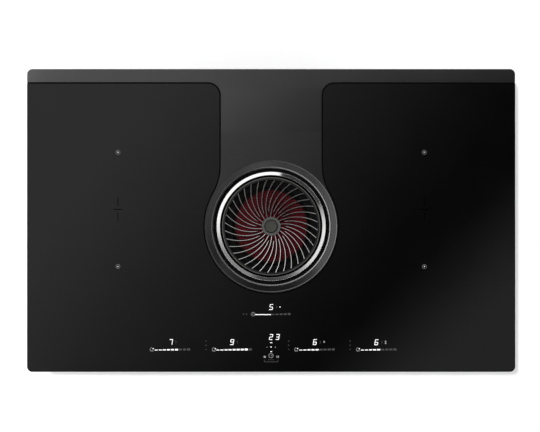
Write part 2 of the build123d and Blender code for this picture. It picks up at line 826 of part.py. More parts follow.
# ================================================================ air box and blower
def air_box_ribs(middle, depth, top):
    """Upright stiffening ribs on the box's side walls, tapered towards its floor."""
    wall = air_box_half_width - 0.5
    reach = air_box_half_width + air_box_rib_reach
    low = air_floor_z + 10
    outline = make_face(Polyline((wall, low), (wall, top), (reach, top), (wall + 2, low), close=True))
    rib = Rot(90, 0, 0) * extrude(outline, air_box_rib_thickness / 2, both=True)
    pitch = (depth - 4 * air_box_corner_radius) / (air_box_rib_count - 1)
    ribs = Part()
    for number in range(air_box_rib_count):
        place = Pos(0, middle + (number - (air_box_rib_count - 1) / 2) * pitch)
        ribs += [place * rib, place * mirror(rib, Plane.YZ)]
    return ribs


def air_box():
    """Moulded duct box under the chassis: flange, ribbed walls, ring that centres the liquid tray."""
    middle = (air_box_front_y + air_box_back_y) / 2
    depth = air_box_back_y - air_box_front_y
    top = -chassis_depth
    plan = Pos(0, middle) * RectangleRounded(2 * air_box_half_width, depth, air_box_corner_radius)
    body = rise(plan, base_z, top)
    body = chamfer(body.faces().sort_by(Axis.Z)[0].edges(), 4)
    lip_plan = Pos(0, middle - air_box_flange / 2)
    lip_size = (2 * (air_box_half_width + air_box_flange), depth + air_box_flange)
    body += rise(lip_plan * RectangleRounded(*lip_size, air_box_corner_radius), top - air_box_wall, top)
    body += air_box_ribs(middle, depth, top - 1)
    inner = RectangleRounded(
        2 * (air_box_half_width - air_box_wall), depth - 2 * air_box_wall, air_box_corner_radius - air_box_wall
    )
    body -= rise(Pos(0, middle) * inner, air_floor_z, top)
    body += ring(tray_radius + 3.2, tray_radius + 0.8, air_floor_z, air_floor_z + 5, 0, collar_centre_y)
    half = scroll_half_width
    body -= slab(-half, half, air_box_back_y - 5, air_box_back_y, scroll_bottom_z, exit_top_z)
    body -= small_holes(air_box_screw_places(), top - air_box_wall, top)
    return body


def volute():
    """The blower's inner outline in the Y-Z plane: a growing spiral, then a straight exit."""
    sweep = 270 - scroll_start_angle

    def point(share):
        angle = radians(scroll_start_angle + share * sweep)
        radius = scroll_start_radius + share * (scroll_end_radius - scroll_start_radius)
        return (blower_y + radius * cos(angle), blower_axis_z + radius * sin(angle))

    arcs = [ThreePointArc(point(n / 6), point((n + 1) / 6), point((n + 2) / 6)) for n in (0, 2, 4)]
    end = point(1)
    start = point(0)
    exit_corners = ((exit_end_y, scroll_bottom_z), (exit_end_y, exit_top_z), (start[0], exit_top_z))
    exit_line = Polyline(end, *exit_corners, start)
    return make_face(arcs + [exit_line])


def blower_shell(side):
    """Half of the blower's housing: spiral wall, cheek with a rounded air eye, round feet."""
    inner = volute()
    outer = offset(inner, scroll_wall, kind=Kind.INTERSECTION)
    outer = outer & Pos((exit_end_y - 300), blower_axis_z) * Rectangle(600, 600)
    shell = extrude(Plane.YZ * outer, scroll_half_width + scroll_wall)
    shell -= extrude(Plane.YZ * inner, scroll_half_width)
    cheek = scroll_half_width
    axis = Pos(0, blower_y, blower_axis_z) * Rot(0, 90, 0)
    shell -= axis * disc(eye_radius, cheek - 1, cheek + scroll_wall + 1)
    shell += axis * ring(eye_radius + scroll_wall, eye_radius, cheek + scroll_wall, cheek + scroll_wall + 4)
    return shell if side > 0 else mirror(shell, Plane.YZ)


def impeller():
    """Double-inlet drum: forward-curved blades between two end rings, middle disc and hub."""
    half = scroll_half_width - impeller_side_gap
    inner = impeller_inner_radius
    outer = impeller_radius
    blade_path = Polyline((inner + 0.8, 0), (inner + 5, 1.4), (outer - 0.8, -0.6))
    blade = extrude(trace(blade_path, line_width=blade_thickness), half - 1, both=True)
    drum = ring(outer, inner, half - 2, half) + ring(outer, inner, -half, -half + 2)
    drum += disc(inner + 2, -1.5, 1.5)
    drum += [Rot(0, 0, 360 / blade_count * number) * blade for number in range(blade_count)]
    drum += disc(12, -9, 9)
    drum -= disc(shaft_radius, -half, half)
    return Pos(0, blower_y, blower_axis_z) * Rot(0, 90, 0) * drum


motor_end = motor_start + motor_length


def impeller_shaft():
    shaft = disc(shaft_radius, -12, bracket_x - 2)
    return Pos(0, blower_y, blower_axis_z) * Rot(0, 90, 0) * shaft


def motor():
    """Motor inside the drum: can with rounded end, neck that reaches the bracket."""
    can = disc(motor_radius, motor_start, motor_end)
    can = chamfer(can.edges().filter_by(GeomType.CIRCLE), 3)
    neck = disc(motor_radius * 0.55, motor_end, bracket_x)
    body = can + neck - disc(shaft_radius + running_gap, motor_start, bracket_x)
    return Pos(0, blower_y, blower_axis_z) * Rot(0, 90, 0) * body


def motor_bracket():
    """Three-armed bracket on the right eye that carries the motor."""
    high = bracket_x + bracket_thickness
    rim = ring(eye_radius + scroll_wall, eye_radius - 2, bracket_x, high)
    plate = disc(motor_radius * 0.6, bracket_x, high)
    arms = Part()
    for number in range(3):
        arms += Rot(0, 0, 90 + 120 * number) * slab(0, eye_radius, -5, 5, bracket_x, high)
    return Pos(0, blower_y, blower_axis_z) * Rot(0, 90, 0) * (rim + plate + arms)


# ================================================================ outlet
sleeve_half = scroll_half_width - sleeve_gap
sleeve_low_z = scroll_bottom_z + sleeve_gap
sleeve_high_z = exit_top_z - sleeve_gap
sleeve_start_y = air_box_back_y - sleeve_length
flap_y = sleeve_start_y + flap_hinge_setback
flap_pitch = (sleeve_high_z - sleeve_low_z - 2 * sleeve_thickness) / flap_count


def flap_axis_z(number):
    """Level of a flap's hinge, counted from the top flap (0) down."""
    return sleeve_high_z - sleeve_thickness - flap_barrel_radius - flap_gap - number * flap_pitch


def outlet_spigot():
    """Rectangular duct collar: flange on the air box, outer duct stub, inner sleeve for the flaps."""
    back = air_box_back_y
    half = duct_width / 2
    low = duct_middle_z - duct_height / 2
    high = duct_middle_z + duct_height / 2
    inner_half = sleeve_half - sleeve_thickness
    inner_low = sleeve_low_z + sleeve_thickness
    inner_high = sleeve_high_z - sleeve_thickness
    body = slab(-half - spigot_flange, half + spigot_flange, back, back + 2.5, base_z + 1, high + spigot_flange)
    stub = slab(-half, half, back + 2.5, spigot_end_y, low, high)
    stub -= slab(
        -half + duct_wall, half - duct_wall, back + 2.5, spigot_end_y, low + duct_wall, high - duct_wall
    )
    sleeve = slab(-sleeve_half, sleeve_half, sleeve_start_y, back, sleeve_low_z, sleeve_high_z)
    body += stub + sleeve
    body -= slab(-inner_half, inner_half, sleeve_start_y, back + 2.5, inner_low, inner_high)
    for number in range(flap_count):
        pin = Pos(0, flap_y, flap_axis_z(number)) * Rot(0, 90, 0)
        body -= pin * disc(flap_pin_radius + running_gap, -half, half)
    return body


def flap(number):
    """Non-return flap: plate hanging from a bar, with a pin at each end."""
    axis_z = flap_axis_z(number)
    half = sleeve_half - sleeve_thickness - flap_gap
    low = axis_z - flap_pitch + flap_barrel_radius + flap_gap
    plate = slab(-half, half, flap_y - flap_thickness / 2, flap_y + flap_thickness / 2, low, axis_z)
    turn = Pos(0, flap_y, axis_z) * Rot(0, 90, 0)
    barrel = turn * rise(RegularPolygon(flap_barrel_radius, 8), -half, half)
    pins = turn * disc(flap_pin_radius, -sleeve_half + 0.2, sleeve_half - 0.2)
    return plate + barrel + pins


# ================================================================ clamps, mains entry, screws
clamp_top_z = -chassis_depth - clamp_gap
clamp_low_z = clamp_top_z - clamp_thickness


def clamp(x, y):
    """Worktop clamp: a bar on its screw, folded in along the side, with a grooved gripping tip."""
    way = -1 if y > 0 else 1
    outline = Pos(0, way * (clamp_length / 2 - clamp_width / 2)) * SlotOverall(clamp_length, clamp_width, 90)
    bar = rise(outline, clamp_low_z, clamp_top_z)
    bar -= disc(clamp_screw_radius + running_gap, clamp_low_z, clamp_top_z)
    tip = way * (clamp_length - clamp_width)
    half = clamp_width / 2
    bar -= slab(-half, half, tip - 1, tip + 1, clamp_top_z - clamp_groove_depth, clamp_top_z)
    return Pos(x, y, 0) * bar


def clamp_screws():
    """Each clamp's screw: hexagon head below the bar, shank up through the chassis floor."""
    screws = []
    for x, y in clamp_places().values():
        hexagon = RegularPolygon(clamp_screw_head_radius, 6)
        head = rise(hexagon, clamp_low_z - clamp_head_height - 0.1, clamp_low_z - 0.1)
        shank = disc(clamp_screw_radius, clamp_low_z - 0.2, floor_z + 3)
        screws.append(Pos(x, y, 0) * (head + shank))
    return Compound(children=screws)


def air_box_screws():
    """Hexagon-headed screws that hang the air box on the chassis floor."""
    screws = []
    flange_low = -chassis_depth - air_box_wall
    for x, y in air_box_screw_places():
        head = rise(RegularPolygon(small_screw_head_radius, 6), flange_low - small_screw_head_height, flange_low)
        shank = rise(RegularPolygon(small_screw_radius, 6), flange_low - 0.5, floor_z + 2)
        screws.append(Pos(x, y, 0) * (head + shank))
    return Compound(children=screws)


terminal_x_low = terminal_x_high - terminal_width
terminal_y_low = terminal_y_high - terminal_depth
gland_z = -chassis_depth - terminal_height / 2


def terminal_box():
    """Back of the mains box: a plate under the chassis floor, folded down to hold the cable gland."""
    wall = terminal_wall
    low, top = terminal_low_z, -chassis_depth
    plate = slab(terminal_x_low, terminal_x_high, terminal_y_low, terminal_y_high, top - wall, top)
    back = slab(terminal_x_low, terminal_x_high, terminal_y_high - wall, terminal_y_high, low, top - wall)
    hole = Pos(terminal_x, terminal_y_high, gland_z) * Rot(-90, 0, 0)
    back -= hole * disc(gland_bore_radius + 2.5, -wall - 1, 1)
    return plate + back - rise(lead_hole_outline(), top - wall, top)


def terminal_walls():
    """Front and side walls of the mains box, one folded strip."""
    wall = terminal_wall
    back = terminal_y_high - wall
    low, top = terminal_low_z, -chassis_depth - wall
    block = slab(terminal_x_low, terminal_x_high, terminal_y_low, back, low, top)
    return block - slab(terminal_x_low + wall, terminal_x_high - wall, terminal_y_low + wall, back, low, top)


def terminal_cover():
    """Snap-on cover: a plate with a rim that stands inside the box's walls."""
    plate = slab(
        terminal_x_low, terminal_x_high, terminal_y_low, terminal_y_high,
        terminal_low_z - terminal_wall, terminal_low_z,
    )
    inset = terminal_wall + screw_hole_gap
    x_low, x_high = terminal_x_low + inset, terminal_x_high - inset
    y_low, y_high = terminal_y_low + inset, terminal_y_high - inset
    rim = slab(x_low, x_high, y_low, y_high, terminal_low_z, terminal_low_z + 3)
    rim -= slab(x_low + 1.5, x_high - 1.5, y_low + 1.5, y_high - 1.5, terminal_low_z, terminal_low_z + 3)
    return plate + rim


def terminal_block():
    """Six-way terminal block on the box's ceiling."""
    top = -chassis_depth - terminal_wall
    length, depth, height = terminal_block_size
    y = terminal_y_low + terminal_wall + 12 + depth / 2
    body = Pos(terminal_x, y, top - height / 2) * Box(*terminal_block_size)
    for number in range(terminal_ways):
        x = terminal_x - length / 2 + (number + 0.5) * length / terminal_ways
        body -= slab(x - 3, x + 3, y - 4, y + 4, top - height, top - 9)
    return body


def cable_gland():
    """Gland in the box's back wall: hexagon, dome nut and lock nut around the cable's bore."""
    stem = disc(gland_bore_radius + 2.3, -terminal_wall, 0)
    hexagon = rise(RegularPolygon(gland_hex_radius, 6), 0, gland_hex_length)
    dome_length = gland_reach - gland_hex_length
    dome = Cone(gland_hex_radius * 0.86, gland_bore_radius + 2, dome_length)
    dome = Pos(0, 0, gland_hex_length + dome_length / 2) * dome
    lock = rise(RegularPolygon(gland_hex_radius, 6), -terminal_wall - gland_nut_length, -terminal_wall)
    body = stem + hexagon + dome + lock - disc(gland_bore_radius, -terminal_wall - 5, gland_reach + 1)
    return Pos(terminal_x, terminal_y_high, gland_z) * Rot(-90, 0, 0) * body


# ================================================================ all sub-parts
def main():
    parts = {
        "glass_top": glass_top(),
        "t_frame": t_frame(),
        "joint_seal": joint_seal(),
        "rim_gasket": rim_gasket(),
        "glass_adhesive": glass_adhesive(),
        "inlet_well": inlet_well(),
        "grille_ring": grille_ring(),
        "grille_ribs": grille_ribs(),
        "hub_cap": hub_cap(),
        "filter_frame": filter_frame(),
        "filter_screen": filter_screen(),
        "filter_media": filter_media(),
        "liquid_tray": liquid_tray(),
        "chassis_tray": chassis_tray(),
        "coil_carriers": coil_carriers(),
        "coil_ferrites": coil_ferrites(),
        "coil_sensors": coil_sensors(),
        "mica_sheets": mica_sheets(),
        "board_spacers": board_spacers(),
        "board_components": board_components(),
        "touch_board": touch_board(),
        "light_guide": light_guide(),
        "touch_bracket": touch_bracket(),
        "air_box": air_box(),
        "blower_shell_left": blower_shell(-1),
        "blower_shell_right": blower_shell(1),
        "impeller": impeller(),
        "impeller_shaft": impeller_shaft(),
        "blower_motor": motor(),
        "motor_bracket": motor_bracket(),
        "outlet_spigot": outlet_spigot(),
        "clamp_screws": clamp_screws(),
        "air_box_screws": air_box_screws(),
        "terminal_box": terminal_box(),
        "terminal_walls": terminal_walls(),
        "terminal_cover": terminal_cover(),
        "terminal_block": terminal_block(),
        "cable_gland": cable_gland(),
    }
    for side, word in ((-1, "left"), (1, "right")):
        parts["coil_rear_" + word] = coil(side * zone_x, zone_rear_y)
        parts["coil_front_" + word] = coil(side * zone_x, zone_front_y)
        parts["support_plate_" + word] = support_plate(side)
        parts["power_board_" + word] = power_board(side)
        parts["heatsink_" + word] = heatsink(side)
        parts["fan_housing_" + word] = fan_housing(side)
        parts["fan_rotor_" + word] = fan_rotor(side)
    for number, word in enumerate(("upper", "middle", "lower")):
        parts["flap_" + word] = flap(number)
    for corner, (x, y) in clamp_places().items():
        parts["clamp_" + corner] = clamp(x, y)
    os.makedirs("parts", exist_ok=True)
    for node, shape in parts.items():
        export_step(shape, "parts/" + node + ".step")
    print(len(parts), "sub-parts written")


main()
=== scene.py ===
# %% [markdown]
# # A cooktop with an extractor in its middle
# This lesson dresses a built-in induction cooktop. A black glass plate lies in a dark grey metal
# frame shaped like a T, whose foot is a round collar with a lift-off grille. Steam is drawn down
# through the grille, a grease filter and a blower, and leaves through a flat duct. Every rigid
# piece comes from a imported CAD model, in metres and at its true place. Blender adds the finishes,
# the lit controls, the rounded spiral ribs, the perforated red screen and the studio.

import math
from functools import partial

import bpy
import numpy as np
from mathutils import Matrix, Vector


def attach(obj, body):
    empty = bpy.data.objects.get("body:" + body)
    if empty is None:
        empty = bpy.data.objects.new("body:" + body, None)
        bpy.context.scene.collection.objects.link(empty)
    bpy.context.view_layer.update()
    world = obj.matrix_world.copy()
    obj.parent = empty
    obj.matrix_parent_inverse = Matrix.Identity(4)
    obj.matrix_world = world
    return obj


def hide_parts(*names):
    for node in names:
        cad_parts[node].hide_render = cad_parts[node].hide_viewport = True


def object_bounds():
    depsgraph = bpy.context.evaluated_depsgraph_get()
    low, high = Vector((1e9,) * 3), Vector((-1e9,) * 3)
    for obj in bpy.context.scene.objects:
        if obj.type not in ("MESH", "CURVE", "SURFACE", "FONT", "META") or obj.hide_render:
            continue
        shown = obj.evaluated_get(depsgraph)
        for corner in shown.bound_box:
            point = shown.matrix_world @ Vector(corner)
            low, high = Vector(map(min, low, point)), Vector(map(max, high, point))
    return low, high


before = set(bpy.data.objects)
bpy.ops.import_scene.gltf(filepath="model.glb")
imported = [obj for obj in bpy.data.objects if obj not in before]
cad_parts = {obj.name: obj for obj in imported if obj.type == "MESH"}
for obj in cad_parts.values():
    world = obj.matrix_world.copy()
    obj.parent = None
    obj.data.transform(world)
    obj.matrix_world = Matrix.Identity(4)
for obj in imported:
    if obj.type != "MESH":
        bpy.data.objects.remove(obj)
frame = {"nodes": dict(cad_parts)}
nodes, scene = frame["nodes"], bpy.context.scene
cad_box = [list(corner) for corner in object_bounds()]
mm = 0.001
print("CAD box in mm:", [[round(value / mm, 1) for value in corner] for corner in cad_box])

# %% [markdown]
# ## Measured places
# The glass lies flat, so one scale turns a place in the photograph into a place on the glass.
# The middle of the hob is the frame's origin, and the round inlet sits a little in front of it.

# %% Sizes that several steps share
glass_top = 6.0 * mm
inlet_y = -10.0 * mm
millimetres_per_pixel = 1.7026
middle_pixel = (271.15, 220.4)


def on_glass(column, row):
    """Place on the glass, in metres, of a pixel: distance from the middle pixel times the scale."""
    x = (column - middle_pixel[0]) * millimetres_per_pixel * mm
    y = (middle_pixel[1] - row) * millimetres_per_pixel * mm
    return x, y


print("left rear zone mark at", [round(value, 4) for value in on_glass(118.4, 152.2)])

# %% [markdown]
# ## Meshes from arrays
# New pieces are surfaces worked out as whole numpy arrays: a grid of points and the quads between
# its neighbours. A closed surface has to face outwards, so a helper turns its faces over when its
# volume comes out negative.


# %% Grid, orientation and mesh helpers
def grid_quads(rows, columns, wrap_rows=False, wrap_columns=False):
    """Quads of a rows x columns grid: point (i, j) joins (i+1, j), (i+1, j+1) and (i, j+1)."""
    i, j = np.meshgrid(
        np.arange(rows if wrap_rows else rows - 1),
        np.arange(columns if wrap_columns else columns - 1),
        indexing="ij",
    )
    below, beside = (i + 1) % rows, (j + 1) % columns
    corners = [i * columns + j, below * columns + j, below * columns + beside, i * columns + beside]
    return np.stack(corners, axis=-1).reshape(-1, 4)


def facing_out(points, quads):
    """Turns the quads over if the enclosed volume, the sum of a . (b x c) / 6, is negative."""
    a, b, c, d = (points[quads[:, n]] for n in range(4))
    volume = np.einsum("ij,ij->", a, np.cross(b, c)) + np.einsum("ij,ij->", a, np.cross(c, d))
    return quads if volume > 0 else quads[:, ::-1]


def mesh_object(name, points, faces):
    """Mesh object of those points and faces, placed in the scene."""
    mesh = bpy.data.meshes.new(name)
    mesh.from_pydata(np.asarray(points).tolist(), [], [list(map(int, face)) for face in faces])
    made = bpy.data.objects.new(name, mesh)
    scene.collection.objects.link(made)
    return made


def new_piece(name, points, faces, body, smooth=True):
    """Mesh object that rides on a CAD body."""
    piece = mesh_object(name, points, faces)
    piece.data.polygons.foreach_set("use_smooth", np.full(len(faces), smooth))
    piece.data.update()
    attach(piece, body)
    print(name, "has", len(faces), "faces")
    return piece


# %% [markdown]
# ## Turned pieces
# The trim ring, the insert's rim and its hub are turned parts: a profile of radius and height is
# carried round the inlet's axis. A sharp corner would smear the shading of the faces beside it, so
# each corner gets a small arc and a support point on either side.


# %% Rounded profile and surface of revolution
def rounded_profile(corners, radius, hold=1.5, arc_points=4):
    """Closed profile with each corner replaced by a quadratic curve of about that radius.

    A corner P between unit directions a and b becomes (1-t)^2 (P + r a) + 2t(1-t) P
    + t^2 (P + r b), and a point at hold times r along each side keeps the flat faces flat.
    On a short side r is smaller, so that the points of its two corners don't meet."""
    corners = np.asarray(corners, float)
    before = np.roll(corners, 1, axis=0) - corners
    after = np.roll(corners, -1, axis=0) - corners
    lengths = [np.linalg.norm(side, axis=1)[:, None] for side in (before, after)]
    reach = np.minimum(np.minimum(*lengths) / (2 * hold + 0.2), radius)
    before, after = before / lengths[0], after / lengths[1]
    t = np.linspace(0, 1, arc_points)[None, :, None]
    start, end = corners + reach * before, corners + reach * after
    arc = (1 - t) ** 2 * start[:, None] + 2 * t * (1 - t) * corners[:, None] + t**2 * end[:, None]
    first, last = ((corners + hold * reach * side)[:, None] for side in (before, after))
    return np.concatenate([first, arc, last], axis=1).reshape(-1, 2)


def turned_piece(name, section_mm, rounding_mm, steps, body):
    """Surface of revolution: x = r cos a, y = inlet y + r sin a, z = the section's height."""
    profile = rounded_profile(section_mm, rounding_mm) * mm
    angle = np.linspace(0, 2 * np.pi, steps, endpoint=False)
    x = profile[:, :1] * np.cos(angle)
    y = inlet_y + profile[:, :1] * np.sin(angle)
    z = np.broadcast_to(profile[:, 1:], x.shape)
    points = np.stack([x, y, z], axis=-1).reshape(-1, 3)
    quads = facing_out(points, grid_quads(len(profile), steps, True, True))
    return new_piece(name, points, quads, body)

# %% [markdown]
# ## The trim ring
# A bright ring frames the grille. Its top slopes outwards by about sixteen degrees, which is why it
# mirrors a band of the studio and not the ceiling. The CAD ring is made of flat facets that a
# mirror finish would show, so a finely divided ring with the same section stands in for it.

# %% Trim ring
trim_section = [
    (86.7, 4.5), (87.2, 5.0), (92.6, 3.4), (93.1, 2.9), (93.1, -11.8),
    (91.1, -11.8), (91.1, -5.0), (80.0, -5.0), (80.0, -3.0), (86.7, -3.0),
]
trim_ring = turned_piece("trim_ring", trim_section, 0.18, 360, "grille")
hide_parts("grille_ring")

# %% [markdown]
# ## The spiral insert
# Thirty-six ribs wind from the rim towards the hub, long and short in turn. Their narrow flat
# crests lean to one side, like turbine blades, and those crests are what the eye sees: thin lines
# on black, bright in front and dim behind. Each rib is one grid. Its rows follow the spiral, and
# its columns the section, two upright sides under a leaning crest with rounded edges. The rows at
# a free end shrink, which rounds it off. One more array axis holds all the ribs.


# %% Spiral ribs
rib_outer, long_start, short_start = 80.6, 14.6, 23.2
turn_per_mm, turn_from = 0.446, 24
crest_middle, crest_fall, fall_radius, crest_lean = 3.3, 1.8, 79, math.radians(25)
thin, growth, grows_from, grows_over = 0.64, 0.10, 15, 65
free_end, thinnest, rib_foot = 1.6, 0.02, -3.0
crowding = 0.9


def spiral_ribs(count=36, rows=26):
    """Ribs on the curve: clockwise angle = start angle + turn_per_mm degrees (r - turn_from).

    Crest height = crest_middle - crest_fall (r / fall_radius)^2 mm. Section = (w u, crest
    + w u tan(crest_lean) - drop) for u from 1 to -1, where drop rounds the two edges, and straight
    down to the foot. Half width w = thin + growth (r - grows_from) / grows_over mm, and at d past
    the tip of a free end that times sqrt(1 - (1 - d / free_end)^2)."""
    number = np.arange(count)
    start = np.where(number % 2 == 0, long_start, short_start)[:, None]
    radius = start + (rib_outer - start) * np.linspace(0, 1, rows) ** crowding
    turn = np.radians(90 - number[:, None] * 360 / count - turn_per_mm * (radius - turn_from))
    path = np.stack([radius * np.cos(turn), radius * np.sin(turn)], axis=-1)
    along = np.gradient(path, axis=1)
    along /= np.linalg.norm(along, axis=-1, keepdims=True)
    across = np.stack([-along[..., 1], along[..., 0]], axis=-1)
    free = (number % 2 == 1)[:, None]
    inward = np.clip((radius - start) / free_end, 0, 1)
    taper = np.where(free, np.sqrt(1 - (1 - inward) ** 2), 1.0)
    crest = crest_middle - crest_fall * (radius / fall_radius) ** 2 - free_end * (1 - taper)
    side = np.array([1.12, 1.0, 0.97, 0.87, 0.74, -0.74, -0.87, -0.97, -1.0, -1.12])
    drop = np.array([np.inf, 0.26, 0.10, 0.02, 0.0, 0.0, 0.02, 0.10, 0.26, np.inf])
    half_width = (thin + growth * (radius - grows_from) / grows_over) * np.maximum(taper, thinnest)
    offset = half_width[..., None] * side
    top = crest[..., None] + offset * math.tan(crest_lean) - drop
    height = np.where(np.isinf(drop), rib_foot, top)
    plan = path[:, :, None, :] + across[:, :, None, :] * offset[..., None]
    return np.concatenate([plan, height[..., None]], axis=-1)


rib_points = spiral_ribs() * mm + np.array([0, inlet_y, 0])
count, rows, columns = rib_points.shape[:3]
tube = grid_quads(rows, columns, wrap_columns=True)
first_end = np.arange(columns)[::-1]
last_end = (rows - 1) * columns + np.arange(columns)
one_rib = [*tube, first_end, last_end]
if facing_out(rib_points[0].reshape(-1, 3), tube) is not tube:
    one_rib = [face[::-1] for face in one_rib]
rib_faces = [face + rib * rows * columns for rib in range(count) for face in one_rib]
spiral = new_piece("spiral_ribs", rib_points.reshape(-1, 3), rib_faces, "grille")

# %% [markdown]
# ## Rim and hub of the insert
# The ribs end in a rim with a thin raised lip, and in a small ring round the hub cap. Both are
# turned, and the floor of the hub closes the middle so that nothing shows through under the cap.

# %% Rim and hub
rim_section = [
    (83.5, -3.0), (83.5, 3.0), (81.9, 3.0), (81.9, 1.8), (79.0, 1.8), (79.0, -3.0),
]
insert_rim = turned_piece("insert_rim", rim_section, 0.2, 300, "grille")
hub_section = [
    (16.0, -3.0), (16.0, 3.1), (15.2, 3.9), (12.2, 3.9),
    (11.6, 3.3), (11.6, -1.0), (0.05, -1.0), (0.05, -3.0),
]
hub_ring = turned_piece("hub_ring", hub_section, 0.2, 96, "grille")
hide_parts("grille_ribs")
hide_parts("grille_ribs")
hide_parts("grille_ribs")

# %% [markdown]
# ## The perforated screen
# Under the ribs a red perforated sheet covers the grease filter. Its holes are real here, because a
# painted pattern would look flat between the ribs. One cell is a ring of six quads between a
# hexagon and its round hole, and its copies fill the sheet like a honeycomb. The rim is one
# turned flange that slopes down to the filter frame.


# %% Perforated sheet
def perforated_sheet(reach, pitch, hole, top, bottom):
    """Honeycomb of cells within the reach. Centres = (pitch (i + j/2), pitch j sqrt(3)/2), and each
    cell runs from a hexagon of circumradius pitch/sqrt(3) in to a six-sided hole."""
    n = int(reach / pitch) + 3
    i, j = np.meshgrid(np.arange(-2 * n, 2 * n + 1), np.arange(-n, n + 1), indexing="ij")
    x, y = pitch * (i + j / 2), pitch * j * math.sqrt(3) / 2
    inside = np.hypot(x, y) < reach - pitch / 2
    centres = np.column_stack([x[inside], y[inside], np.zeros(inside.sum())])
    corner = np.radians(30 + 60 * np.arange(6))
    ring = np.stack([np.cos(corner), np.sin(corner)], axis=-1)
    outer, inner = ring * pitch / math.sqrt(3), ring * hole
    layers = [(outer, top), (inner, top), (inner, bottom), (outer, bottom)]
    cell = np.concatenate([np.column_stack([edge, np.full(6, z)]) for edge, z in layers])
    cell_quads = grid_quads(len(layers), 6, wrap_columns=True)[:, ::-1]
    points = (centres[:, None] + cell).reshape(-1, 3)
    quads = (np.arange(len(centres)) * len(cell))[:, None, None] + cell_quads
    print("the sheet has", len(centres), "holes")
    return points, quads.reshape(-1, 4)


points, quads = perforated_sheet(reach=63.5, pitch=4.4, hole=1.95, top=-17.3, bottom=-18.1)
points = points * mm + np.array([0, inlet_y, 0])
red_sheet = new_piece("perforated_sheet", points, quads, "filter", smooth=False)
flange_section = [
    (61.0, -17.25), (63.0, -17.25), (67.7, -20.3), (67.7, -21.3), (62.6, -18.2), (61.0, -18.2),
]
sheet_rim = turned_piece("screen_rim", flange_section, 0.25, 160, "filter")
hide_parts("filter_screen")
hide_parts("filter_screen")

# %% [markdown]
# ## Painted shade on the glass's edge
# The bevel round the plate gets a black film that swallows light. This is painted shade: it makes
# the joint and the rim read as a dark line. It is a separate thin skin here, because polished glass
# and a dull film are two finishes. Its path is read from the plate: an edge of the flat top that
# only one triangle uses is part of the outline. At a corner the skin is offset along the mitre, so
# the pieces on both sides of it meet.


# %% Skin along the plate's outline
micron, weld = 1e-6, 1e-7


def plate_outline(node, level):
    """Outline points of the flat top, and the pairs of them that are joined, the plate on the left.

    A directed edge (a, b) of the top's triangles is on the outline if no triangle has (b, a)."""
    mesh = node.data
    places, corners = np.empty(len(mesh.vertices) * 3), np.empty(len(mesh.loops), int)
    mesh.vertices.foreach_get("co", places)
    mesh.loops.foreach_get("vertex_index", corners)
    triangles = places.reshape(-1, 3)[corners.reshape(-1, 3)]
    top = triangles[np.all(np.abs(triangles[..., 2] - level) < micron, axis=1), :, :2]
    points, ids = np.unique(np.round(top.reshape(-1, 2) / micron), axis=0, return_inverse=True)
    a, b = ids.ravel(), np.roll(ids.reshape(-1, 3), -1, axis=1).ravel()
    outline = ~np.isin(a * len(points) + b, b * len(points) + a)
    used, pairs = np.unique(np.stack([a, b], axis=1)[outline], return_inverse=True)
    return points[used] * micron, pairs.reshape(-1, 2)


def edge_skin(points, pairs, sections_mm):
    """Tube along the outline, with a section (outward, up) for each of its edges.

    Mitre at a point = 2 (n1 + n2) / |n1 + n2|^2 for the outward normals of its two edges."""
    along = points[pairs[:, 1]] - points[pairs[:, 0]]
    along /= np.linalg.norm(along, axis=1, keepdims=True)
    outward = np.stack([along[:, 1], -along[:, 0]], axis=1)
    mitre = np.zeros_like(points)
    np.add.at(mitre, pairs.ravel(), np.repeat(outward, 2, axis=0))
    mitre *= 2 / np.sum(mitre**2, axis=1, keepdims=True)
    sections = sections_mm[:, None] * mm
    plan = points[pairs][:, :, None] + mitre[pairs][:, :, None] * sections[..., :1]
    height = np.broadcast_to(glass_top + sections[..., 1:], (*plan.shape[:3], 1))
    rings = np.concatenate([plan, height], axis=-1)
    n = rings.shape[2]
    tubes = np.arange(len(pairs))[:, None, None] * 2 * n + grid_quads(2, n, wrap_columns=True)
    welded, ids = np.unique(np.round(rings.reshape(-1, 3) / weld), axis=0, return_inverse=True)
    return welded * weld, facing_out(welded * weld, ids.ravel()[tubes.reshape(-1, 4)])


film_reach, further_in, bevel, film = 0.35, 0.7, 0.58, 0.02
film_corner, film_lift = 0.008, 0.014
rim_band = 6 * mm
joint_film = np.array([
    (-film_reach, 0.0), (0.0, 0.0), (bevel, -bevel),
    (bevel + film_lift, film_lift - bevel), (film_corner, film), (-film_reach, film),
])
rim_film = joint_film - (further_in, 0.0) * (joint_film[:, :1] < 0)
outline, pairs = plate_outline(nodes["glass_top"], glass_top)
middle = outline[pairs].mean(axis=1)
at_side = np.abs(middle[:, 0]) > cad_box[1][0] - rim_band
on_rim = at_side | (middle[:, 1] < cad_box[0][1] + rim_band)
points, quads = edge_skin(outline, pairs, np.where(on_rim[:, None, None], rim_film, joint_film))
print("outline edges:", len(pairs), "with a wider film on the outer rim:", int(on_rim.sum()))
# Painted shade: a black film on the bevel makes the glass's edge read as a dark line.
painted_edge_shade = new_piece("painted_edge_shade", points, quads, "hob", smooth=False)

# %% [markdown]
# ## Shared effects
# Several finishes need the same small effects, so each one is a node group with named sockets:
# a fine grain for moulded and painted skins, slow clouds for handling marks and uneven gloss, and
# turning marks that circle the inlet. Three more are masks, which tell an edge from a flat by its
# normal, a crest from a floor by its height, and a ring by its distance from the inlet's axis. A
# group only hands out numbers. The shader that uses them stays in the material, where an exporter
# can read it.


# %% Node helpers
def linked(value):
    return isinstance(value, bpy.types.NodeSocket)


def put(socket, value):
    """Links an output to an input socket, or writes a number or a colour into it."""
    if linked(value):
        socket.id_data.links.new(value, socket)
    else:
        socket.default_value = value


def add(near, kind, values=None, **settings):
    """New shader node in the tree of near, with its settings, and with values for its inputs."""
    node = near.id_data.nodes.new("ShaderNode" + kind)
    for setting, value in settings.items():
        setattr(node, setting, value)
    for socket, value in (values or {}).items():
        put(node.inputs[socket], value)
    return node


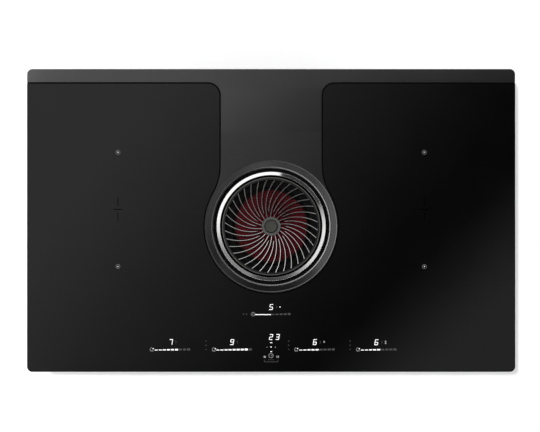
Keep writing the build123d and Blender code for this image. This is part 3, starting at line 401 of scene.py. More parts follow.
def maths(operation, *values, kind="Math", output=0, **settings):
    """Output of a Math node, in the tree of the first value that is a socket."""
    near = next(filter(linked, values))
    return add(near, kind, dict(enumerate(values)), operation=operation, **settings).outputs[output]


def times(first, second):
    return maths("MULTIPLY", first, second)


def ramp(value, low, high, start=0.0, end=1.0):
    """Runs from low to high while the value runs from start to end, and stays level past them."""
    ends = {"From Min": start, "From Max": end, "To Min": low, "To Max": high}
    return add(value, "MapRange", {"Value": value, **ends}).outputs[0]


# %% Group builder
def new_group(name, inputs, output, vector="Position"):
    """Node group with a vector, float inputs {name: default} and one float output.

    Returns the group, the sockets of its given values, and the socket for its result."""
    group = bpy.data.node_groups.new(name, "ShaderNodeTree")
    group.interface.new_socket(vector, in_out="INPUT", socket_type="NodeSocketVector")
    for socket, default in inputs.items():
        made = group.interface.new_socket(socket, in_out="INPUT", socket_type="NodeSocketFloat")
        made.default_value = default
    group.interface.new_socket(output, in_out="OUTPUT", socket_type="NodeSocketFloat")
    given, result = group.nodes.new("NodeGroupInput"), group.nodes.new("NodeGroupOutput")
    return group, given.outputs, result.inputs[0]


def per_metre(size_mm):
    """How often a size in millimetres goes into a metre."""
    return maths("DIVIDE", 1 / mm, size_mm)


def use_group(group, vector, *values):
    """Output of a group that gets a vector, and values for its next inputs."""
    node = add(vector, "Group", node_tree=group)
    for socket, value in zip(node.inputs, (vector, *values)):
        put(socket, value)
    return node.outputs[0]


# %% Fine grain
grain_group, given, result = new_group("Fine grain", {"Size mm": 0.4}, "Height")
spread = {"Vector": given["Position"], "Scale": per_metre(given["Size mm"])}
noise = add(grain_group, "TexNoise", {**spread, "Detail": 3.0}).outputs[0]
cells = add(grain_group, "TexVoronoi", spread).outputs[0]
put(result, maths("ADD", noise, cells))
grainy = partial(use_group, grain_group)

# %% Slow clouds
sizes = {"Size mm": 60.0, "Low": 0.0, "High": 1.0}
cloud_group, given, result = new_group("Slow clouds", sizes, "Value")
spread = {"Vector": given["Position"], "Scale": per_metre(given["Size mm"])}
noise = add(cloud_group, "TexNoise", {**spread, "Detail": 4.0, "Roughness": 0.6}).outputs[0]
put(result, ramp(noise, given["Low"], given["High"], 0.32, 0.68))
cloudy = partial(use_group, cloud_group)


# %% Turning marks
def vector_maths(operation, *values, output="Vector"):
    return maths(operation, *values, kind="VectorMath", output=output)


def inlet_distance(position, unit):
    """Distance from the inlet's axis, sqrt(x^2 + (y - inlet y)^2), times the unit."""
    middle = vector_maths("ADD", position, (0, -inlet_y, 0))
    flat = vector_maths("MULTIPLY", middle, (unit, unit, 0))
    return vector_maths("LENGTH", flat, output="Value")


turning_group, given, result = new_group("Turning marks", {"Pitch mm": 0.25}, "Mark")
pitch, radius = per_metre(given["Pitch mm"]), inlet_distance(given["Position"], 1)
values = {"W": radius, "Scale": pitch, "Detail": 2.0}
put(result, add(turning_group, "TexNoise", values, noise_dimensions="1D").outputs[0])
turning = partial(use_group, turning_group)


# %% Masks by normal, by height and by distance from the inlet
def upward(vector):
    return add(vector, "SeparateXYZ", {0: vector}).outputs["Z"]


def mask_group(name, measure, vector="Position"):
    """Group whose mask is 0 where the measure is "None at" and 1 where it is "Full at"."""
    group, given, result = new_group(name, {"None at": 0.0, "Full at": 1.0}, "Mask", vector)
    put(result, ramp(measure(given[vector]), 0.0, 1.0, given["None at"], given["Full at"]))
    return partial(use_group, group)


by_normal = mask_group("Facing up", upward, "Normal")
by_height = mask_group("Height mask", lambda place: times(upward(place), 1 / mm))
by_inlet = mask_group("Inlet distance mask", lambda place: inlet_distance(place, 1 / mm))
print("node groups:", [group.name for group in bpy.data.node_groups])

# %% [markdown]
# ## One recipe for plain finishes
# Most hidden and half-hidden parts are painted, moulded or plated. They share one recipe: slow
# clouds shift the colour and the gloss a little, and fine grain lifts the surface. What differs is
# the numbers, so the recipe is a function, and each finish is a line with its own values.


# %% Finish recipe
def wear(material, targets):
    """Gives a material to CAD nodes, by name, or to pieces."""
    for target in targets:
        target = nodes[target] if isinstance(target, str) else target
        if target.material_slots:
            for place in target.material_slots:
                place.material = material
        else:
            target.data.materials.append(material)
        print(material.name, "on", target.name)


def blank(name, targets=()):
    """Puts a new material on its targets: its Principled shader and the object's coordinates."""
    material = bpy.data.materials.new(name)
    material.use_nodes = True
    wear(material, targets)
    shader = material.node_tree.nodes["Principled BSDF"]
    return shader, add(shader, "TexCoord").outputs["Object"]


def feed(shader, **values):
    """Links or writes values to the shader's own inputs. An underscore stands for a space."""
    for name, value in values.items():
        put(shader.inputs[name.replace("_", " ")], value)


def blend(factor, low, high):
    """Colour between low and high by a factor socket. An end is a socket, a colour or a grey."""
    node = add(factor, "Mix", {"Factor": factor}, data_type="RGBA")
    for socket, value in zip(node.inputs[6:8], (low, high)):
        put(socket, value if linked(value) else (*np.broadcast_to(value, 3), 1.0))
    return node.outputs[2]


def facing(near, none_at, full_at):
    """Mask from the surface's upward part: 0 where the normal's z is none_at, 1 where full_at."""
    return by_normal(add(near, "NewGeometry").outputs["Normal"], none_at, full_at)


def leaning_up(amount):
    """The normal N turned towards the sky: the direction of N + (0, 0, amount)."""
    normal = add(amount, "NewGeometry").outputs["Normal"]
    lift = add(amount, "CombineXYZ", {2: amount}).outputs[0]
    return vector_maths("NORMALIZE", vector_maths("ADD", normal, lift))


def bump(shader, height, strength, distance_mm, **normal):
    """Leans the shader's normal by the slope of the height, from a given Normal if there is one."""
    values = {"Height": height, "Strength": strength, "Distance": distance_mm * mm, **normal}
    feed(shader, Normal=add(shader, "Bump", values).outputs["Normal"])


def plain(
    name, targets, colour, rough, vary=0.12, grain_mm=0.5, relief=0.25, cloud_mm=45.0, **fixed
):
    """Clouded colour and gloss with fine grain. vary is the share by which the colour shifts."""
    shader, place = blank(name, targets)
    clouds = cloudy(place, cloud_mm)
    low, high = np.array(colour) * (1 - vary), np.minimum(np.array(colour) * (1 + vary), 1)
    gloss = cloudy(place, cloud_mm * 0.4, rough * 0.85, min(rough * 1.15, 1))
    feed(shader, Base_Color=blend(clouds, low, high), Roughness=gloss, **fixed)
    bump(shader, grainy(place, grain_mm), relief, 0.03)


# %% [markdown]
# ## Black glass
# The plate is nearly black glass ceramic, polished on top, ground along its sides and printed
# underneath, so no light gets through. Only a gloss that is never quite even gives its top away,
# so clouds shift the roughness. The sides are found by their normal and are dull. The film on the
# bevel is painted shade: it swallows light, because a metallic surface with a black colour has no
# clear gloss.

# %% Glass ceramic and its ground edge
shader, place = blank("glass_ceramic", ["glass_top"])
side = facing(place, 0.6, 0.3)
wipe = cloudy(place, 90.0)
top_colour = blend(wipe, (0.0019, 0.0019, 0.0020), (0.0027, 0.0027, 0.0028))
polish = cloudy(place, 35.0, 0.045, 0.075)
rough = maths("MULTIPLY_ADD", side, 0.8, polish)
feed(shader, Base_Color=blend(side, top_colour, 0.0012), Roughness=rough, IOR=1.5)
bump(shader, times(side, grainy(place, 0.3)), 0.2, 0.02)
# Painted shade on the bevel film; the printed bridge dashes share this dull black.
plain("black_print_and_edge_shade", [painted_edge_shade], 0.0012, 0.75, grain_mm=0.3, relief=0.1, Metallic=1.0)

# %% [markdown]
# ## Satin metal frame
# The T-shaped frame is a casting under an anthracite coat with a fine sparkle and a slight orange
# peel. The sparkle is a Voronoi cell colour turned into a small shift of brightness, and the peel
# is a shallow bump. The neck leans a degree to the right, as castings do, the collar is dished more
# than its flat facets say, and the chamfered edges have lost their coat. Their bare metal is worn
# round, so the normal there turns up a little and catches the light of the bright side.

# %% Frame coat
shader, place = blank("frame_coat", ["t_frame"])
flake = add(place, "TexVoronoi", {"Vector": place, "Scale": 2600.0}).outputs["Color"]
bright = add(place, "SeparateColor", {0: flake}).outputs[0]
mixed = maths("MULTIPLY_ADD", bright, 0.55, cloudy(place, 80.0))
coated = blend(mixed, (0.005, 0.005, 0.0051), (0.009, 0.009, 0.0091))
edge = facing(place, 0.9, 0.75)
feed(shader, Base_Color=blend(edge, coated, 0.30), Metallic=times(edge, 0.8))
even = cloudy(place, 50.0, 0.12, 0.145)
feed(shader, Roughness=even, IOR=1.75, Specular_IOR_Level=0.7)

# %% Peel, lean, dish and worn edges as one height
neck_root, neck_end, neck_slope = 0.15, 0.225, -0.020
dish_from, dish_to, dish_slope = 101.8, 110.8, 0.092
peel_depth, edge_lift = 1.5e-6, 0.32
axes = add(place, "SeparateXYZ", {0: place}).outputs
on_neck = ramp(axes["Y"], 0.0, neck_slope, neck_end, neck_root)
dish = by_inlet(place, dish_from, dish_to)
dish_height = (dish_to - dish_from) * mm * dish_slope
shape = maths("MULTIPLY_ADD", dish, dish_height, times(axes["X"], on_neck))
peel = grainy(place, 1.1)
skin = maths("MULTIPLY_ADD", peel, peel_depth, shape)
worn_round = times(times(edge, facing(place, 0.3, 0.6)), edge_lift)
bump(shader, skin, 1.0, 1000.0, Normal=leaning_up(worn_round))

# %% [markdown]
# ## Polished trim, ribs, hub and well
# The trim is polished on a lathe, so its marks run round it and stretch the highlights a little.
# The ribs are coated dark, but their leaning crests are worn bright by the polishing wheel. The
# normal tells a crest from a flank, which is almost upright, and from its rounded upper edge.

# %% Trim steel
shader, place = blank("polished_trim", [trim_ring])
marks = turning(place, 0.22)
above_wall = by_height(place, 2.4, 2.8)
band = times(above_wall, by_inlet(place, 87.0, 87.3))
metal = blend(band, 0.004, blend(marks, 0.80, 0.94))
dull = maths("MULTIPLY_ADD", band, -0.5, 0.5)
rough = maths("ADD", ramp(marks, 0.04, 0.09), dull)
feed(shader, Base_Color=metal, Roughness=rough, Metallic=1.0)
bump(shader, marks, 0.05, 0.01)

# %% Rib metal
shader, place = blank("rib_metal", [spiral])
normal = add(place, "TexCoord").outputs["Normal"]
not_flank = by_normal(normal, 0.86, 0.895)
crest = times(not_flank, by_normal(normal, 0.97, 0.93))
worn = times(crest, cloudy(place, 8.0, 0.85, 1.0))
feed(shader, Base_Color=blend(worn, 0.002, (0.54, 0.54, 0.53)), Metallic=crest)
feed(shader, Roughness=ramp(crest, 0.5, 0.13), Specular_IOR_Level=0.3)
bump(shader, grainy(place, 0.35), 0.15, 0.02)

# %% Rim and hub ring
shader, place = blank("rim_metal", [insert_rim, hub_ring])
crest = by_height(place, 2.4, 2.8)
worn = times(crest, cloudy(place, 10.0, 0.8, 1.0))
feed(shader, Base_Color=blend(worn, 0.003, (0.075, 0.075, 0.07)))
feed(shader, Roughness=ramp(worn, 0.6, 0.3))
bump(shader, grainy(place, 0.35), 0.15, 0.02)
plain("hub_coat", ["hub_cap"], (0.034, 0.036, 0.030), 0.45, grain_mm=0.3)

# %% Well and its rolled lip
lip_from, lip_to, lip_slope = 98.4, 101.8, 0.45
steep_from, steep_height, mark_depth = 100.9, 0.9 * mm, 1.2e-6
shader, place = blank("well_enamel", ["inlet_well"])
lip = by_height(place, 3.4, 4.0)
marks = turning(place, 0.6)
dark = blend(marks, 0.0025, 0.0045)
feed(shader, Base_Color=blend(lip, dark, 0.34), Metallic=lip)
feed(shader, Roughness=ramp(lip, 0.5, 0.15), Specular_IOR_Level=0.2)
round_lip = by_inlet(place, lip_from, lip_to)
steep = times(by_inlet(place, steep_from, lip_to), steep_height)
lip_height = (lip_to - lip_from) * mm * lip_slope
lean = maths("MULTIPLY_ADD", round_lip, lip_height, steep)
bump(shader, maths("MULTIPLY_ADD", marks, mark_depth, lean), 1.0, 1000.0)

# %% [markdown]
# ## The red screen and the filter
# The sheet is coated dark red. Light reaches it only through the grille, so the coat is brighter
# than it seems. The filter's layered mesh under it is nearly hidden, and stays a dull metal.

# %% Screen and filter finishes
shader, place = blank("red_coat", [red_sheet])
clouds = cloudy(place, 14.0)
feed(shader, Base_Color=blend(clouds, (0.13, 0.003, 0.007), (0.19, 0.004, 0.011)))
gloss = cloudy(place, 6.0, 0.35, 0.5)
feed(shader, Roughness=gloss, Specular_IOR_Level=0.2)
bump(shader, grainy(place, 0.25), 0.2, 0.02)
filter_parts = ["filter_frame", sheet_rim]
plain("filter_plastic", filter_parts, 0.003, 0.5, grain_mm=0.4, Specular_IOR_Level=0.2)
shader, place = blank("filter_mesh", ["filter_media"])
weave = {"Vector": place, "Scale": 900.0}
gap = add(place, "TexVoronoi", weave, feature="DISTANCE_TO_EDGE").outputs["Distance"]
wire = ramp(gap, 1.0, 0.0, 0.02, 0.12)
feed(shader, Base_Color=blend(wire, 0.003, (0.035, 0.033, 0.033)), Metallic=wire)
feed(shader, Roughness=ramp(wire, 0.8, 0.4))
bump(shader, wire, 0.5, 0.2)

# %% [markdown]
# ## Sheet metal and plated parts
# The chassis and the brackets are galvanised sheet, which shows a spangle: crystals of zinc that
# each mirror the light a little differently. A Voronoi texture gives every crystal its own
# brightness, gloss and tilt. Screws and clamps are zinc plated, and their crystals are smaller.


# %% Galvanised sheet and plating
def spangle_finish(name, targets, crystal_mm, low, high):
    """Metal whose crystals each have a brightness, a gloss and a tilt of their own."""
    shader, place = blank(name, targets)
    crystal = add(place, "TexVoronoi", {"Vector": place, "Scale": 1 / (crystal_mm * mm)})
    tone = add(place, "SeparateColor", {0: crystal.outputs["Color"]}).outputs
    clouds = cloudy(place, 70.0, -0.25, 0.25)
    level = maths("ADD", tone[0], clouds)
    rough = ramp(tone[1], 0.32, 0.5)
    feed(shader, Base_Color=blend(level, low, high), Roughness=rough, Metallic=0.9)
    bump(shader, tone[2], 0.08, 0.05)


def both(*names):
    """Names of the left and the right one of each pair."""
    return [name + side for name in names for side in ("_left", "_right")]


sheets = ["chassis_tray", "motor_bracket", "touch_bracket"]
spangle_finish("galvanised_sheet", sheets, 7.0, (0.40, 0.41, 0.42), (0.60, 0.61, 0.62))
plated = ["clamp_screws", "air_box_screws", *both("clamp_front", "clamp_rear")]
spangle_finish("zinc_plating", plated, 1.6, (0.46, 0.46, 0.45), (0.60, 0.60, 0.58))
bare = {"vary": 0.05, "Metallic": 1.0}
rolled = both("support_plate", "heatsink")
plain("rolled_aluminium", rolled, (0.62, 0.62, 0.63), 0.35, grain_mm=0.3, relief=0.1, **bare)
plain("ground_steel", ["impeller_shaft"], 0.52, 0.25, relief=0.05, **bare)
plain("motor_coat", ["blower_motor"], (0.06, 0.06, 0.065), 0.4, relief=0.15)

# %% [markdown]
# ## Moulded plastics and rubber
# The air box, the blower housing, the spigot and the mains box are moulded with a fine spark
# grain. Gaskets and sealant are softer and duller. Every finish keeps its own grain size, because
# a foam cell, a spark-eroded skin and a smooth tray don't look alike from near by.

# %% Plastics and rubber
boxes = ["air_box", "outlet_spigot", "terminal_box", "terminal_walls", "terminal_cover"]
plain("box_plastic", boxes, (0.030, 0.030, 0.032), 0.55, grain_mm=0.8, relief=0.35)
shells = both("blower_shell")
plain("shell_plastic", shells, (0.12, 0.12, 0.125), 0.5, grain_mm=0.7, relief=0.3)
plain("wheel_plastic", ["impeller"], (0.22, 0.22, 0.23), 0.45, relief=0.15)
black_parts = ["flap_upper", "flap_middle", "flap_lower", "cable_gland", "light_guide"]
black_parts += both("fan_housing", "fan_rotor")
plain("fan_plastic", black_parts, 0.022, 0.45, relief=0.2)
tray_grey = (0.014, 0.014, 0.015)
plain("tray_plastic", ["liquid_tray"], tray_grey, 0.3, relief=0.1, Coat_Weight=0.2)
pale_parts = ["terminal_block", "board_spacers"]
plain("pale_plastic", pale_parts, (0.62, 0.61, 0.57), 0.45, vary=0.04, relief=0.15)
plain("carrier_plastic", ["coil_carriers"], 0.09, 0.5)
sealed = ["joint_seal", "glass_adhesive"]
plain("sealant", sealed, 0.002, 0.8, grain_mm=1.2, relief=0.2, Specular_IOR_Level=0.1)
plain("gasket_foam", ["rim_gasket"], 0.022, 0.85, grain_mm=0.9, relief=0.8)

# %% [markdown]
# ## Inside the chassis
# Nothing shows of the coils and the boards once the glass is on, but the part can be taken apart,
# so they get their own finishes too: strands that run round the windings, pressed mica, ferrite,
# and green boards with a faint net of copper tracks.

# %% Windings and boards
shader, place = blank("winding_copper", both("coil_rear", "coil_front"))
winding = {"Vector": place, "Scale": 320.0, "Distortion": 1.5}
strands = add(place, "TexWave", winding, wave_type="RINGS", rings_direction="Z").outputs[0]
wires = blend(strands, (0.28, 0.11, 0.045), (0.55, 0.25, 0.11))
feed(shader, Base_Color=wires, Roughness=ramp(strands, 0.5, 0.3), Metallic=0.7)
bump(shader, strands, 0.4, 0.2)
shader, place = blank("board_green", ["touch_board", *both("power_board")])
net = {
    "Vector": place, "Scale": 90.0, "Mortar Size": 0.03, "Mortar": (0.05, 0.22, 0.09, 1),
    "Color1": (0.012, 0.11, 0.045, 1), "Color2": (0.016, 0.14, 0.055, 1),
}
tracks = add(place, "TexBrick", net).outputs
lacquer = cloudy(place, 20.0, 0.3, 0.42)
feed(shader, Base_Color=tracks["Color"], Roughness=lacquer)
bump(shader, tracks["Fac"], 0.2, 0.05)

# %% Mica, ferrite, sensors and components
mica = {"vary": 0.25, "grain_mm": 3.0, "cloud_mm": 6.0}
plain("pressed_mica", ["mica_sheets"], (0.40, 0.33, 0.23), 0.4, **mica)
plain("ferrite", ["coil_ferrites"], (0.05, 0.05, 0.055), 0.6, grain_mm=0.6)
plain("sensor_cap", ["coil_sensors"], (0.66, 0.65, 0.61), 0.4, vary=0.05)
plain("capacitor_case", ["board_components"], (0.04, 0.07, 0.22), 0.3, relief=0.1)

# %% [markdown]
# ## Lit signs
# The controls are lamps behind clear windows in the print, and the cooking zones are marked with
# thin print. A camera sees both as flat bright shapes at the surface, so they are wafers two
# hundredths of a millimetre thick lying on the glass. Each shape is an outline on the glass, and
# one helper turns a list of outlines into closed prisms.

# %% Wafers from outlines
ink_levels = (glass_top, glass_top + 0.02 * mm)


def wafer(name, outlines, finish):
    """Closed prisms: each outline of n points at two levels, n side quads and two caps."""
    points, faces, first = [], [], 0
    for outline in outlines:
        outline = np.asarray(outline, float)
        following = np.roll(outline, -1, axis=0)
        area = np.sum(outline[:, 0] * following[:, 1] - outline[:, 1] * following[:, 0])
        outline = outline if area > 0 else outline[::-1]
        n = len(outline)
        points += [np.column_stack([outline, np.full(n, level)]) for level in ink_levels]
        k = np.arange(n)
        faces += list(np.column_stack([k, (k + 1) % n, (k + 1) % n + n, k + n]) + first)
        faces += [k[::-1] + first, k + n + first]
        first += 2 * n
    piece = new_piece(name, np.concatenate(points), faces, "hob", smooth=False)
    wear(bpy.data.materials[finish], [piece])


def bar(x, y, width, height, slant=0.0):
    """Rectangle about a middle, in pixels of the photograph, leaning by slant times height."""
    w, h = width / 2, height / 2
    corners = [(-w, -h), (w, -h), (w, h), (-w, h)]
    return [on_glass(x + dx - slant * dy, y + dy) for dx, dy in corners]


def round_points(x, y, radius, angles):
    """Places at a radius, in pixels of the photograph, from a middle, with y downwards."""
    return [on_glass(x + radius * math.cos(a), y + radius * math.sin(a)) for a in angles]


def arc_strip(x, y, radius, line, start=0.0, end=360.0, parts=20):
    """Ring or arc as quads: points at radius +- line / 2, for angles in degrees."""
    angles = np.radians(np.linspace(start, end, parts + 1))
    inner, outer = (round_points(x, y, radius + side * line / 2, angles) for side in (-1, 1))
    return [[inner[k], outer[k], outer[k + 1], inner[k + 1]] for k in range(parts)]


def spot(x, y, radius, sides=8):
    return round_points(x, y, radius, np.linspace(0, 2 * np.pi, sides, endpoint=False))


def shapes(*sizes):
    """Bars of (x, y, width, height) and spots of (x, y, radius)."""
    return [bar(*size) if len(size) == 4 else spot(*size) for size in sizes]


# %% [markdown]
# ## Sign finishes
# Lamps glow evenly but not perfectly: a light guide leaves them brightest in the middle. The
# clouds group gives that unevenness at a size of a few millimetres. Lit, dim and printed signs are
# the same recipe at five strengths, so the printed zone rings glow as well: painted light, as print
# is no lamp.


# %% Sign recipe
def sign_finish(name, level, glow):
    """Sign of one grey, both as its own colour and as its light, at a strength of glow."""
    shader, place = blank(name)
    patches = cloudy(place, 4.0, level * 0.9, level)
    colour = add(place, "CombineColor", {0: patches, 1: patches, 2: patches}).outputs[0]
    feed(shader, Emission_Color=colour, Base_Color=colour, Emission_Strength=glow, Roughness=0.4)
    print(name, "at level", level, "times", glow)


sign_finish("lit_sign", 0.95, 0.35)
sign_finish("half_lit_sign", 0.20, 0.8)
sign_finish("dim_sign", 0.038, 0.6)
sign_finish("faint_sign", 0.03, 0.6)
# Painted light: the printed zone rings get a glow, though print is no lamp.
sign_finish("print_with_painted_glow", 0.105, 0.5)

# %% [markdown]
# ## Numbers
# The power levels are seven-segment numbers that lean a little to the right. A segment is a bar,
# and a table says which of the seven are lit in each figure.


# %% Seven-segment figures
lit_segments = {"2": "abged", "3": "abgcd", "5": "afgcd", "6": "afgecd", "7": "abc", "9": "abcdfg"}
segments = {
    "a": (0, -1), "b": (1, -0.5), "c": (1, 0.5), "d": (0, 1), "e": (-1, 0.5), "f": (-1, -0.5),
    "g": (0, 0),
}
upright_gap, flat_gap, middle_gap, middle_share = 0.12, 0.35, 0.9, 0.9


def figure(digit, x, y, wide=3.5, high=5.7, stroke=0.66, slant=0.16):
    """Bars of one figure. A segment's place is given as shares of half the width and height."""
    half_w, half_h = (wide - stroke) / 2, (high - stroke) / 2
    bars = []
    for letter in lit_segments[digit]:
        dx, dy = segments[letter][0] * half_w, segments[letter][1] * half_h
        size = (stroke, half_h - upright_gap) if dx else (wide - flat_gap, stroke)
        if letter == "g":
            size = wide - middle_gap, stroke * middle_share
        bars.append(bar(x + dx - slant * dy, y + dy, *size, slant))
    return bars


figures = [
    ("5", 271.2, 306.9), ("7", 171.0, 341.9), ("9", 232.1, 341.9), ("6", 314.9, 341.9),
    ("6", 376.3, 342.1), ("2", 271.1, 336.8), ("3", 277.6, 336.8),
]
wafer("power_numbers", [shape for place in figures for shape in figure(*place)], "lit_sign")

# %% [markdown]
# ## Sliders
# Each zone has a slider of nine bars that grow from left to right. As many bars are lit as the
# chosen level asks, less one, and the rest stay dim. The extractor's slider has flat lit bars.

# %% Slider bars
lit_bars, dim_bars = [], []
slider_row, fan_row, bars_each = 350.2, 314.85, 9
for start, level in ((154.6, 7), (216.2, 9), (299.0, 6), (360.6, 6)):
    for step in range(bars_each):
        tall = 0.72 + 0.16 * step
        shape = bar(start + 1.75 + 4.05 * step, slider_row - tall / 2, 3.05, tall)
        (lit_bars if step < level - 1 else dim_bars).append(shape)
fan_lit = 4
for step in range(bars_each):
    on = step < fan_lit
    tall = 0.8 if on else 1.0 + 0.24 * (step - fan_lit)
    shape = bar(257.1 + 4.0 * step, fan_row - tall / 2, 3.9 if on else 2.8, tall)
    (lit_bars if on else dim_bars).append(shape)
wafer("slider_lit", lit_bars, "lit_sign")
wafer("slider_dim", dim_bars, "dim_sign")

# %% [markdown]
# ## Small signs
# Between the sliders are faint dots, round keys beside each slider, a small fan for the extractor
# and the timer's clock with its bracket. All of them are arcs, spots and bars.

# %% Round keys and bright signs
bright_signs = [
    spot(280.0, 306.9, 0.62, 12), bar(271.2, 342.5, 2.4, 0.65),
    spot(271.1, 346.8, 0.62, 12), bar(271.2, 351.4, 1.6, 0.75),
]
middle_signs = []
for x in (152.3, 214.3, 296.6, 358.2):
    middle_signs += arc_strip(x + 0.2, 349.4, 2.2, 0.4, 125, 255, 8)
    middle_signs.append(bar(x - 0.1, 350.7, 2.8, 0.55))
    bright_signs.append(spot(x + 1.0, 348.5, 0.6))
wafer("signs_bright", bright_signs, "lit_sign")

# %% Fan, clock, bracket and dots
fan_x, fan_y = 253.1, 314.0
middle_signs += arc_strip(fan_x, fan_y, 1.9, 0.32)
for turn in range(4):
    angle = math.radians(45 + 90 * turn)
    blade = fan_x + 0.8 * math.cos(angle), fan_y + 0.8 * math.sin(angle)
    middle_signs.append(spot(*blade, 0.28, 6))
middle_signs += arc_strip(271.0, 355.4, 2.2, 0.42)
middle_signs += shapes(
    (271.3, 355.0, 0.3, 0.9), (271.8, 355.5, 1.1, 0.35), (264.7, 356.7, 1.15),
    (276.7, 356.5, 0.7, 1.8), (278.2, 356.5, 1.1, 1.9), (267.0, 347.0, 0.4), (275.4, 347.0, 0.55),
    (324.0, 341.6, 0.9), (385.4, 341.2, 0.8), (385.4, 343.1, 0.8),
)
wafer("signs_middle", middle_signs, "half_lit_sign")

# %% Faint dots, ticks and bracket
faint_signs = [spot(x, y, 0.6) for x in (206.1, 288.7, 350.0) for y in (340.9, 345.1, 349.2)]
faint_signs += [spot(x, 314.0, 0.7) for x in (243.6, 246.6)]
ticks = ((175.9, 341.8), (237.3, 342.0), (320.0, 342.0), (381.6, 342.0), (276.4, 306.9))
for x, y in ticks:
    faint_signs += arc_strip(x - 1.2, y, 1.6, 0.5, -55, 55, 6)
faint_signs += shapes(
    (271.1, 361.6, 14.0, 0.6), (264.3, 360.6, 0.6, 2.2), (277.9, 360.6, 0.6, 2.2),
    (271.1, 359.6, 6.5, 0.4),
)
wafer("signs_faint", faint_signs, "faint_sign")

# %% [markdown]
# ## Zone marks
# A small ring with a dot shows the middle of each cooking zone. Between a front and a rear zone
# three thin dashes show where the two join into one large zone. The dashes are print, dull and
# darker than the gloss around them, so they share the black film that paints shade on the bevel.

# %% Zone rings and bridge dashes
rings, dots, dashes = [], [], []
for x in (118.2, 424.1):
    for y in (152.4, 266.4):
        rings += arc_strip(x, y, 2.05, 0.42)
        dots.append(spot(x, y, 0.5))
    dashes += [bar(x - 0.2, 209.4, 8.5, 0.75), bar(x, 201.9, 0.7, 8.5), bar(x, 217.0, 0.7, 8.3)]
# The zone rings are print with a painted glow.
wafer("zone_rings", rings, "print_with_painted_glow")
wafer("zone_dots", dots, "lit_sign")
wafer("bridge_dashes", dashes, "black_print_and_edge_shade")

# %% [markdown]
# ## Camera
# The photograph looks straight down through a long lens. The camera stands five metres up, so the
# hob's sides hide and its outline stays square.

# %% Camera
photo_width, photo_height, zoom = 540, 432, 0.9985
frame_width = photo_width * millimetres_per_pixel * mm * zoom
lens, sensor = 200.0, 36.0
camera_data = bpy.data.cameras.new("camera")
camera_data.lens, camera_data.sensor_width = lens, sensor
camera_data.clip_end = 50
camera = bpy.data.objects.new("camera", camera_data)
aim = on_glass(photo_width / 2, photo_height / 2)
camera.location = (*aim, glass_top + lens / sensor * frame_width)
scene.collection.objects.link(camera)
scene.camera = camera
print("camera height", round(camera.location.z, 3), "m, frame width", round(frame_width, 3), "m")

# %% [markdown]
# ## Floor and room
# A white floor lies just under the hob. The camera sees it with some extra light of its own, so
# that it renders white and still keeps the hob's shadow. From below the floor is clear, so that
# the underside can be looked at. The room is white near the horizon, more so at the front right,
# and dark overhead, because a dark ceiling is what keeps black glass black.


# %% Floor
def bare_material(name):
    """Material without any shader, and the socket that its surface goes into."""
    material = bpy.data.materials.new(name)
    material.use_nodes = True
    tree = material.node_tree
    tree.nodes.clear()
    return material, tree, add(tree, "OutputMaterial").inputs["Surface"]


floor_level, floor_reach, floor_glow = cad_box[0][2] - 0.2 * mm, 8, 0.33
corners = np.array([(-1, -1), (1, -1), (1, 1), (-1, 1)]) * floor_reach
floor = mesh_object("floor", np.column_stack([corners, np.full(4, floor_level)]), [(0, 1, 2, 3)])
paper, tree, surface = bare_material("floor_paper")
seen = add(tree, "LightPath").outputs
directly = maths("ADD", seen["Is Camera Ray"], seen["Is Glossy Ray"])
either = maths("ADD", directly, seen["Is Transmission Ray"], use_clamp=True)
matte = add(tree, "BsdfDiffuse", {"Color": (0.8, 0.8, 0.8, 1)}).outputs[0]
glow = add(tree, "Emission", {"Strength": times(either, floor_glow)}).outputs[0]
lit_paper = add(tree, "AddShader", {0: matte, 1: glow}).outputs[0]
clear = add(tree, "BsdfTransparent").outputs[0]
underside = add(tree, "NewGeometry").outputs["Backfacing"]
put(surface, add(tree, "MixShader", {0: underside, 1: lit_paper, 2: clear}).outputs[0])
floor.data.materials.append(paper)
print("floor at", round(floor_level / mm, 1), "mm")

# %% World
wall_top, wall_bottom, wall_level, ceiling_level = 0.50, 0.16, 2.2, 0.02
world = bpy.data.worlds.new("room")
scene.world = world
world.use_nodes = True
tree = world.node_tree
background = tree.nodes["Background"]
direction = add(tree, "TexCoord").outputs["Generated"]
wall = ramp(upward(direction), wall_level, ceiling_level, wall_bottom, wall_top)
brighter_side = vector_maths("DOT_PRODUCT", direction, (0.61, -0.43, 0), output="Value")
around = times(wall, maths("ADD", brighter_side, 1.0))
seen = add(tree, "LightPath").outputs["Is Camera Ray"]
shown = add(tree, "Mix", {"Factor": seen, 2: around, 3: 1.0}, data_type="FLOAT").outputs[0]
feed(background, Strength=shown, Color=(1, 1, 1, 1))

# %% [markdown]
# ## Lamps
# A large soft panel hangs overhead, bright on the left and dark on the right, and black glass
# mirrors exactly that. Around it stand three narrow rings of panels at different heights. A slope
# mirrors what lies twice its own angle from the zenith, so each slope has a ring to itself: the
# collar the highest, the trim the one below it, and the ribs with the well's lip the lowest. How
# bright a ring is in each direction decides where that slope shines. A sun with a small disc gives
# the thin shadow at the right and front.


# %% Panels
def level_material(name):
    """Emission whose strength is the mesh's own level attribute."""
    material, tree, surface = bare_material(name)
    strength = add(tree, "Attribute", attribute_name="level").outputs["Fac"]
    put(surface, add(tree, "Emission", {"Strength": strength}).outputs[0])
    return material


def panel(name, points, quads, levels, glow_name):
    """Glowing mesh that only mirrors and lights, with a level for each of its points."""
    piece = mesh_object(name, points, quads)
    piece.data.materials.append(level_material(glow_name))
    level = piece.data.attributes.new("level", "FLOAT", "POINT")
    level.data.foreach_set("value", np.asarray(levels, np.float32).ravel())
    piece.visible_camera = False
    piece.visible_shadow = False
    print(name, "brightness up to", round(float(np.max(levels)), 2))


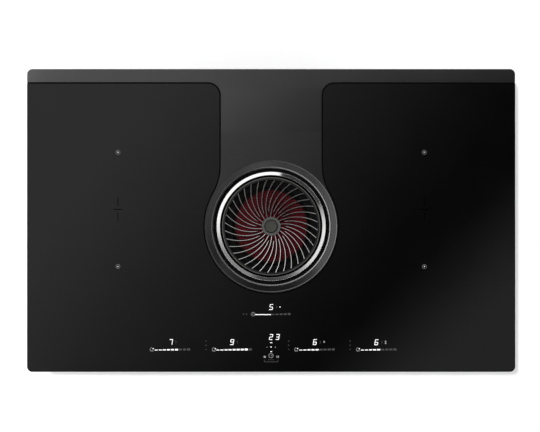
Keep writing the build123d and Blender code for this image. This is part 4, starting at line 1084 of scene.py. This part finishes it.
# %% Overhead panel
panel_height, half_long, half_wide, columns, rows = 2.0, 0.8, 0.5, 97, 75
strip_from, strip_soft, strip_left, strip_long, strip_level = 0.36, 0.06, -0.1, 0.6, 0.5
lean_of_left = 0.75
spread = 1 + (panel_height - glass_top) / (camera.location.z - glass_top)
left_curve = {-0.36: 0.59, -0.258: 0.47, -0.102: 0.27, 0.06: 0.13, 0.162: 0.05, 0.26: 0.005}
right_curve = {0.33: 0.0, 0.406: 0.115, 0.474: 0.265, 0.53: 0.36}


def along(value, curve):
    """Level at a value, on the straight lines that join the curve's {place: level}."""
    return np.interp(value, list(curve), list(curve.values()))


def overhead_level(x, y):
    """Brightness at a place of the panel.

    left = a curve of x - 0.75 y, right = a curve of x - y, both as the glass mirrors them.
    Past the hob's back edge a soft strip is added that grows to the right."""
    left = along((x - lean_of_left * y) / spread, left_curve)
    right = along((x - y) / spread, right_curve)
    back, grown = (y - strip_from) / strip_soft, (x - strip_left) / strip_long
    return left + right + strip_level * np.clip(back, 0, 1) * np.clip(grown, 0, 1)


across, away = np.linspace(-half_long, half_long, columns), np.linspace(-half_wide, half_wide, rows)
x, y = np.meshgrid(across, away, indexing="ij")
points = np.stack([x, y, np.full_like(x, panel_height)], axis=-1).reshape(-1, 3)
quads = grid_quads(columns, rows)
panel("overhead_panel", points, quads, overhead_level(x, y), "overhead_glow")


# %% Ring of panels
def ring_panel(name, stops, low=28.0, high=38.0, distance=1.7):
    """Part of a sphere about the inlet: x = d sin(z) sin(a), y = d sin(z) cos(a), height d cos(z)
    for clockwise azimuth a and zenith angle z. stops are {azimuth: level}."""
    first, last = min(stops), max(stops)
    parts = (last - first) // 2
    fine = np.linspace(first, last, parts + 1)
    a, z = np.meshgrid(np.radians(fine), np.radians([low, high]), indexing="ij")
    points = np.stack([np.sin(z) * np.sin(a), np.sin(z) * np.cos(a), np.cos(z)], axis=-1) * distance
    points[..., 1] += inlet_y
    levels = np.repeat(along(fine, stops), 2)
    panel(name, points.reshape(-1, 3), grid_quads(parts + 1, 2), levels, name + "_glow")


collar_stops = {
    180: 0.95, 195: 1.4, 210: 2.3, 225: 3.2, 240: 2.9, 255: 2.7, 270: 1.6, 300: 2.1, 315: 1.4,
    330: 0.8, 345: 0.0, 375: 0.0, 390: 0.1, 435: 0.12, 450: 0.2, 495: 0.32, 510: 0.55,
    525: 1.05, 540: 0.95,
}
rib_stops = {
    180: 0.5, 210: 1.0, 240: 1.4, 270: 1.9, 285: 2.2, 300: 2.1, 330: 1.2, 360: 0.85, 390: 0.55,
    420: 0.35, 450: 0.12, 480: 0.05, 510: 0.05, 540: 0.35,
}
ring_panel("panel_left_and_back", {
    195: 0.1, 205: 0.25, 240: 0.27, 255: 0.5, 265: 0.85, 278: 1.15, 369: 1.2, 372: 0.04,
    390: 0.045, 424: 0.06,
})
ring_panel("panel_for_collar", collar_stops, 21.0, 27.0, 1.9)
ring_panel("panel_for_ribs", rib_stops, 44.0, 56.0)
ring_panel("panel_right", {
    64: 0.07, 72: 0.4, 82: 0.7, 95: 0.95, 130: 0.85, 142: 0.5, 158: 0.15, 166: 0.09, 180: 0.06,
    195: 0.07,
})

# %% Sun
sun_data = bpy.data.lights.new("sun", "SUN")
sun_data.energy = 1.45
sun_data.angle = math.radians(1.0)
sun = bpy.data.objects.new("sun", sun_data)
sun.rotation_euler = np.radians([-4.4, -6.1, 0])
sun.visible_glossy = False
scene.collection.objects.link(sun)
print("sun strength", round(sun_data.energy, 2))

# %% [markdown]
# ## View settings
# The view transform is Standard, so a colour shows as it is written. Last, both boxes are kept, to
# compare the dressed model with the CAD model.

# %% Finish
scene.view_settings.view_transform = "Standard"
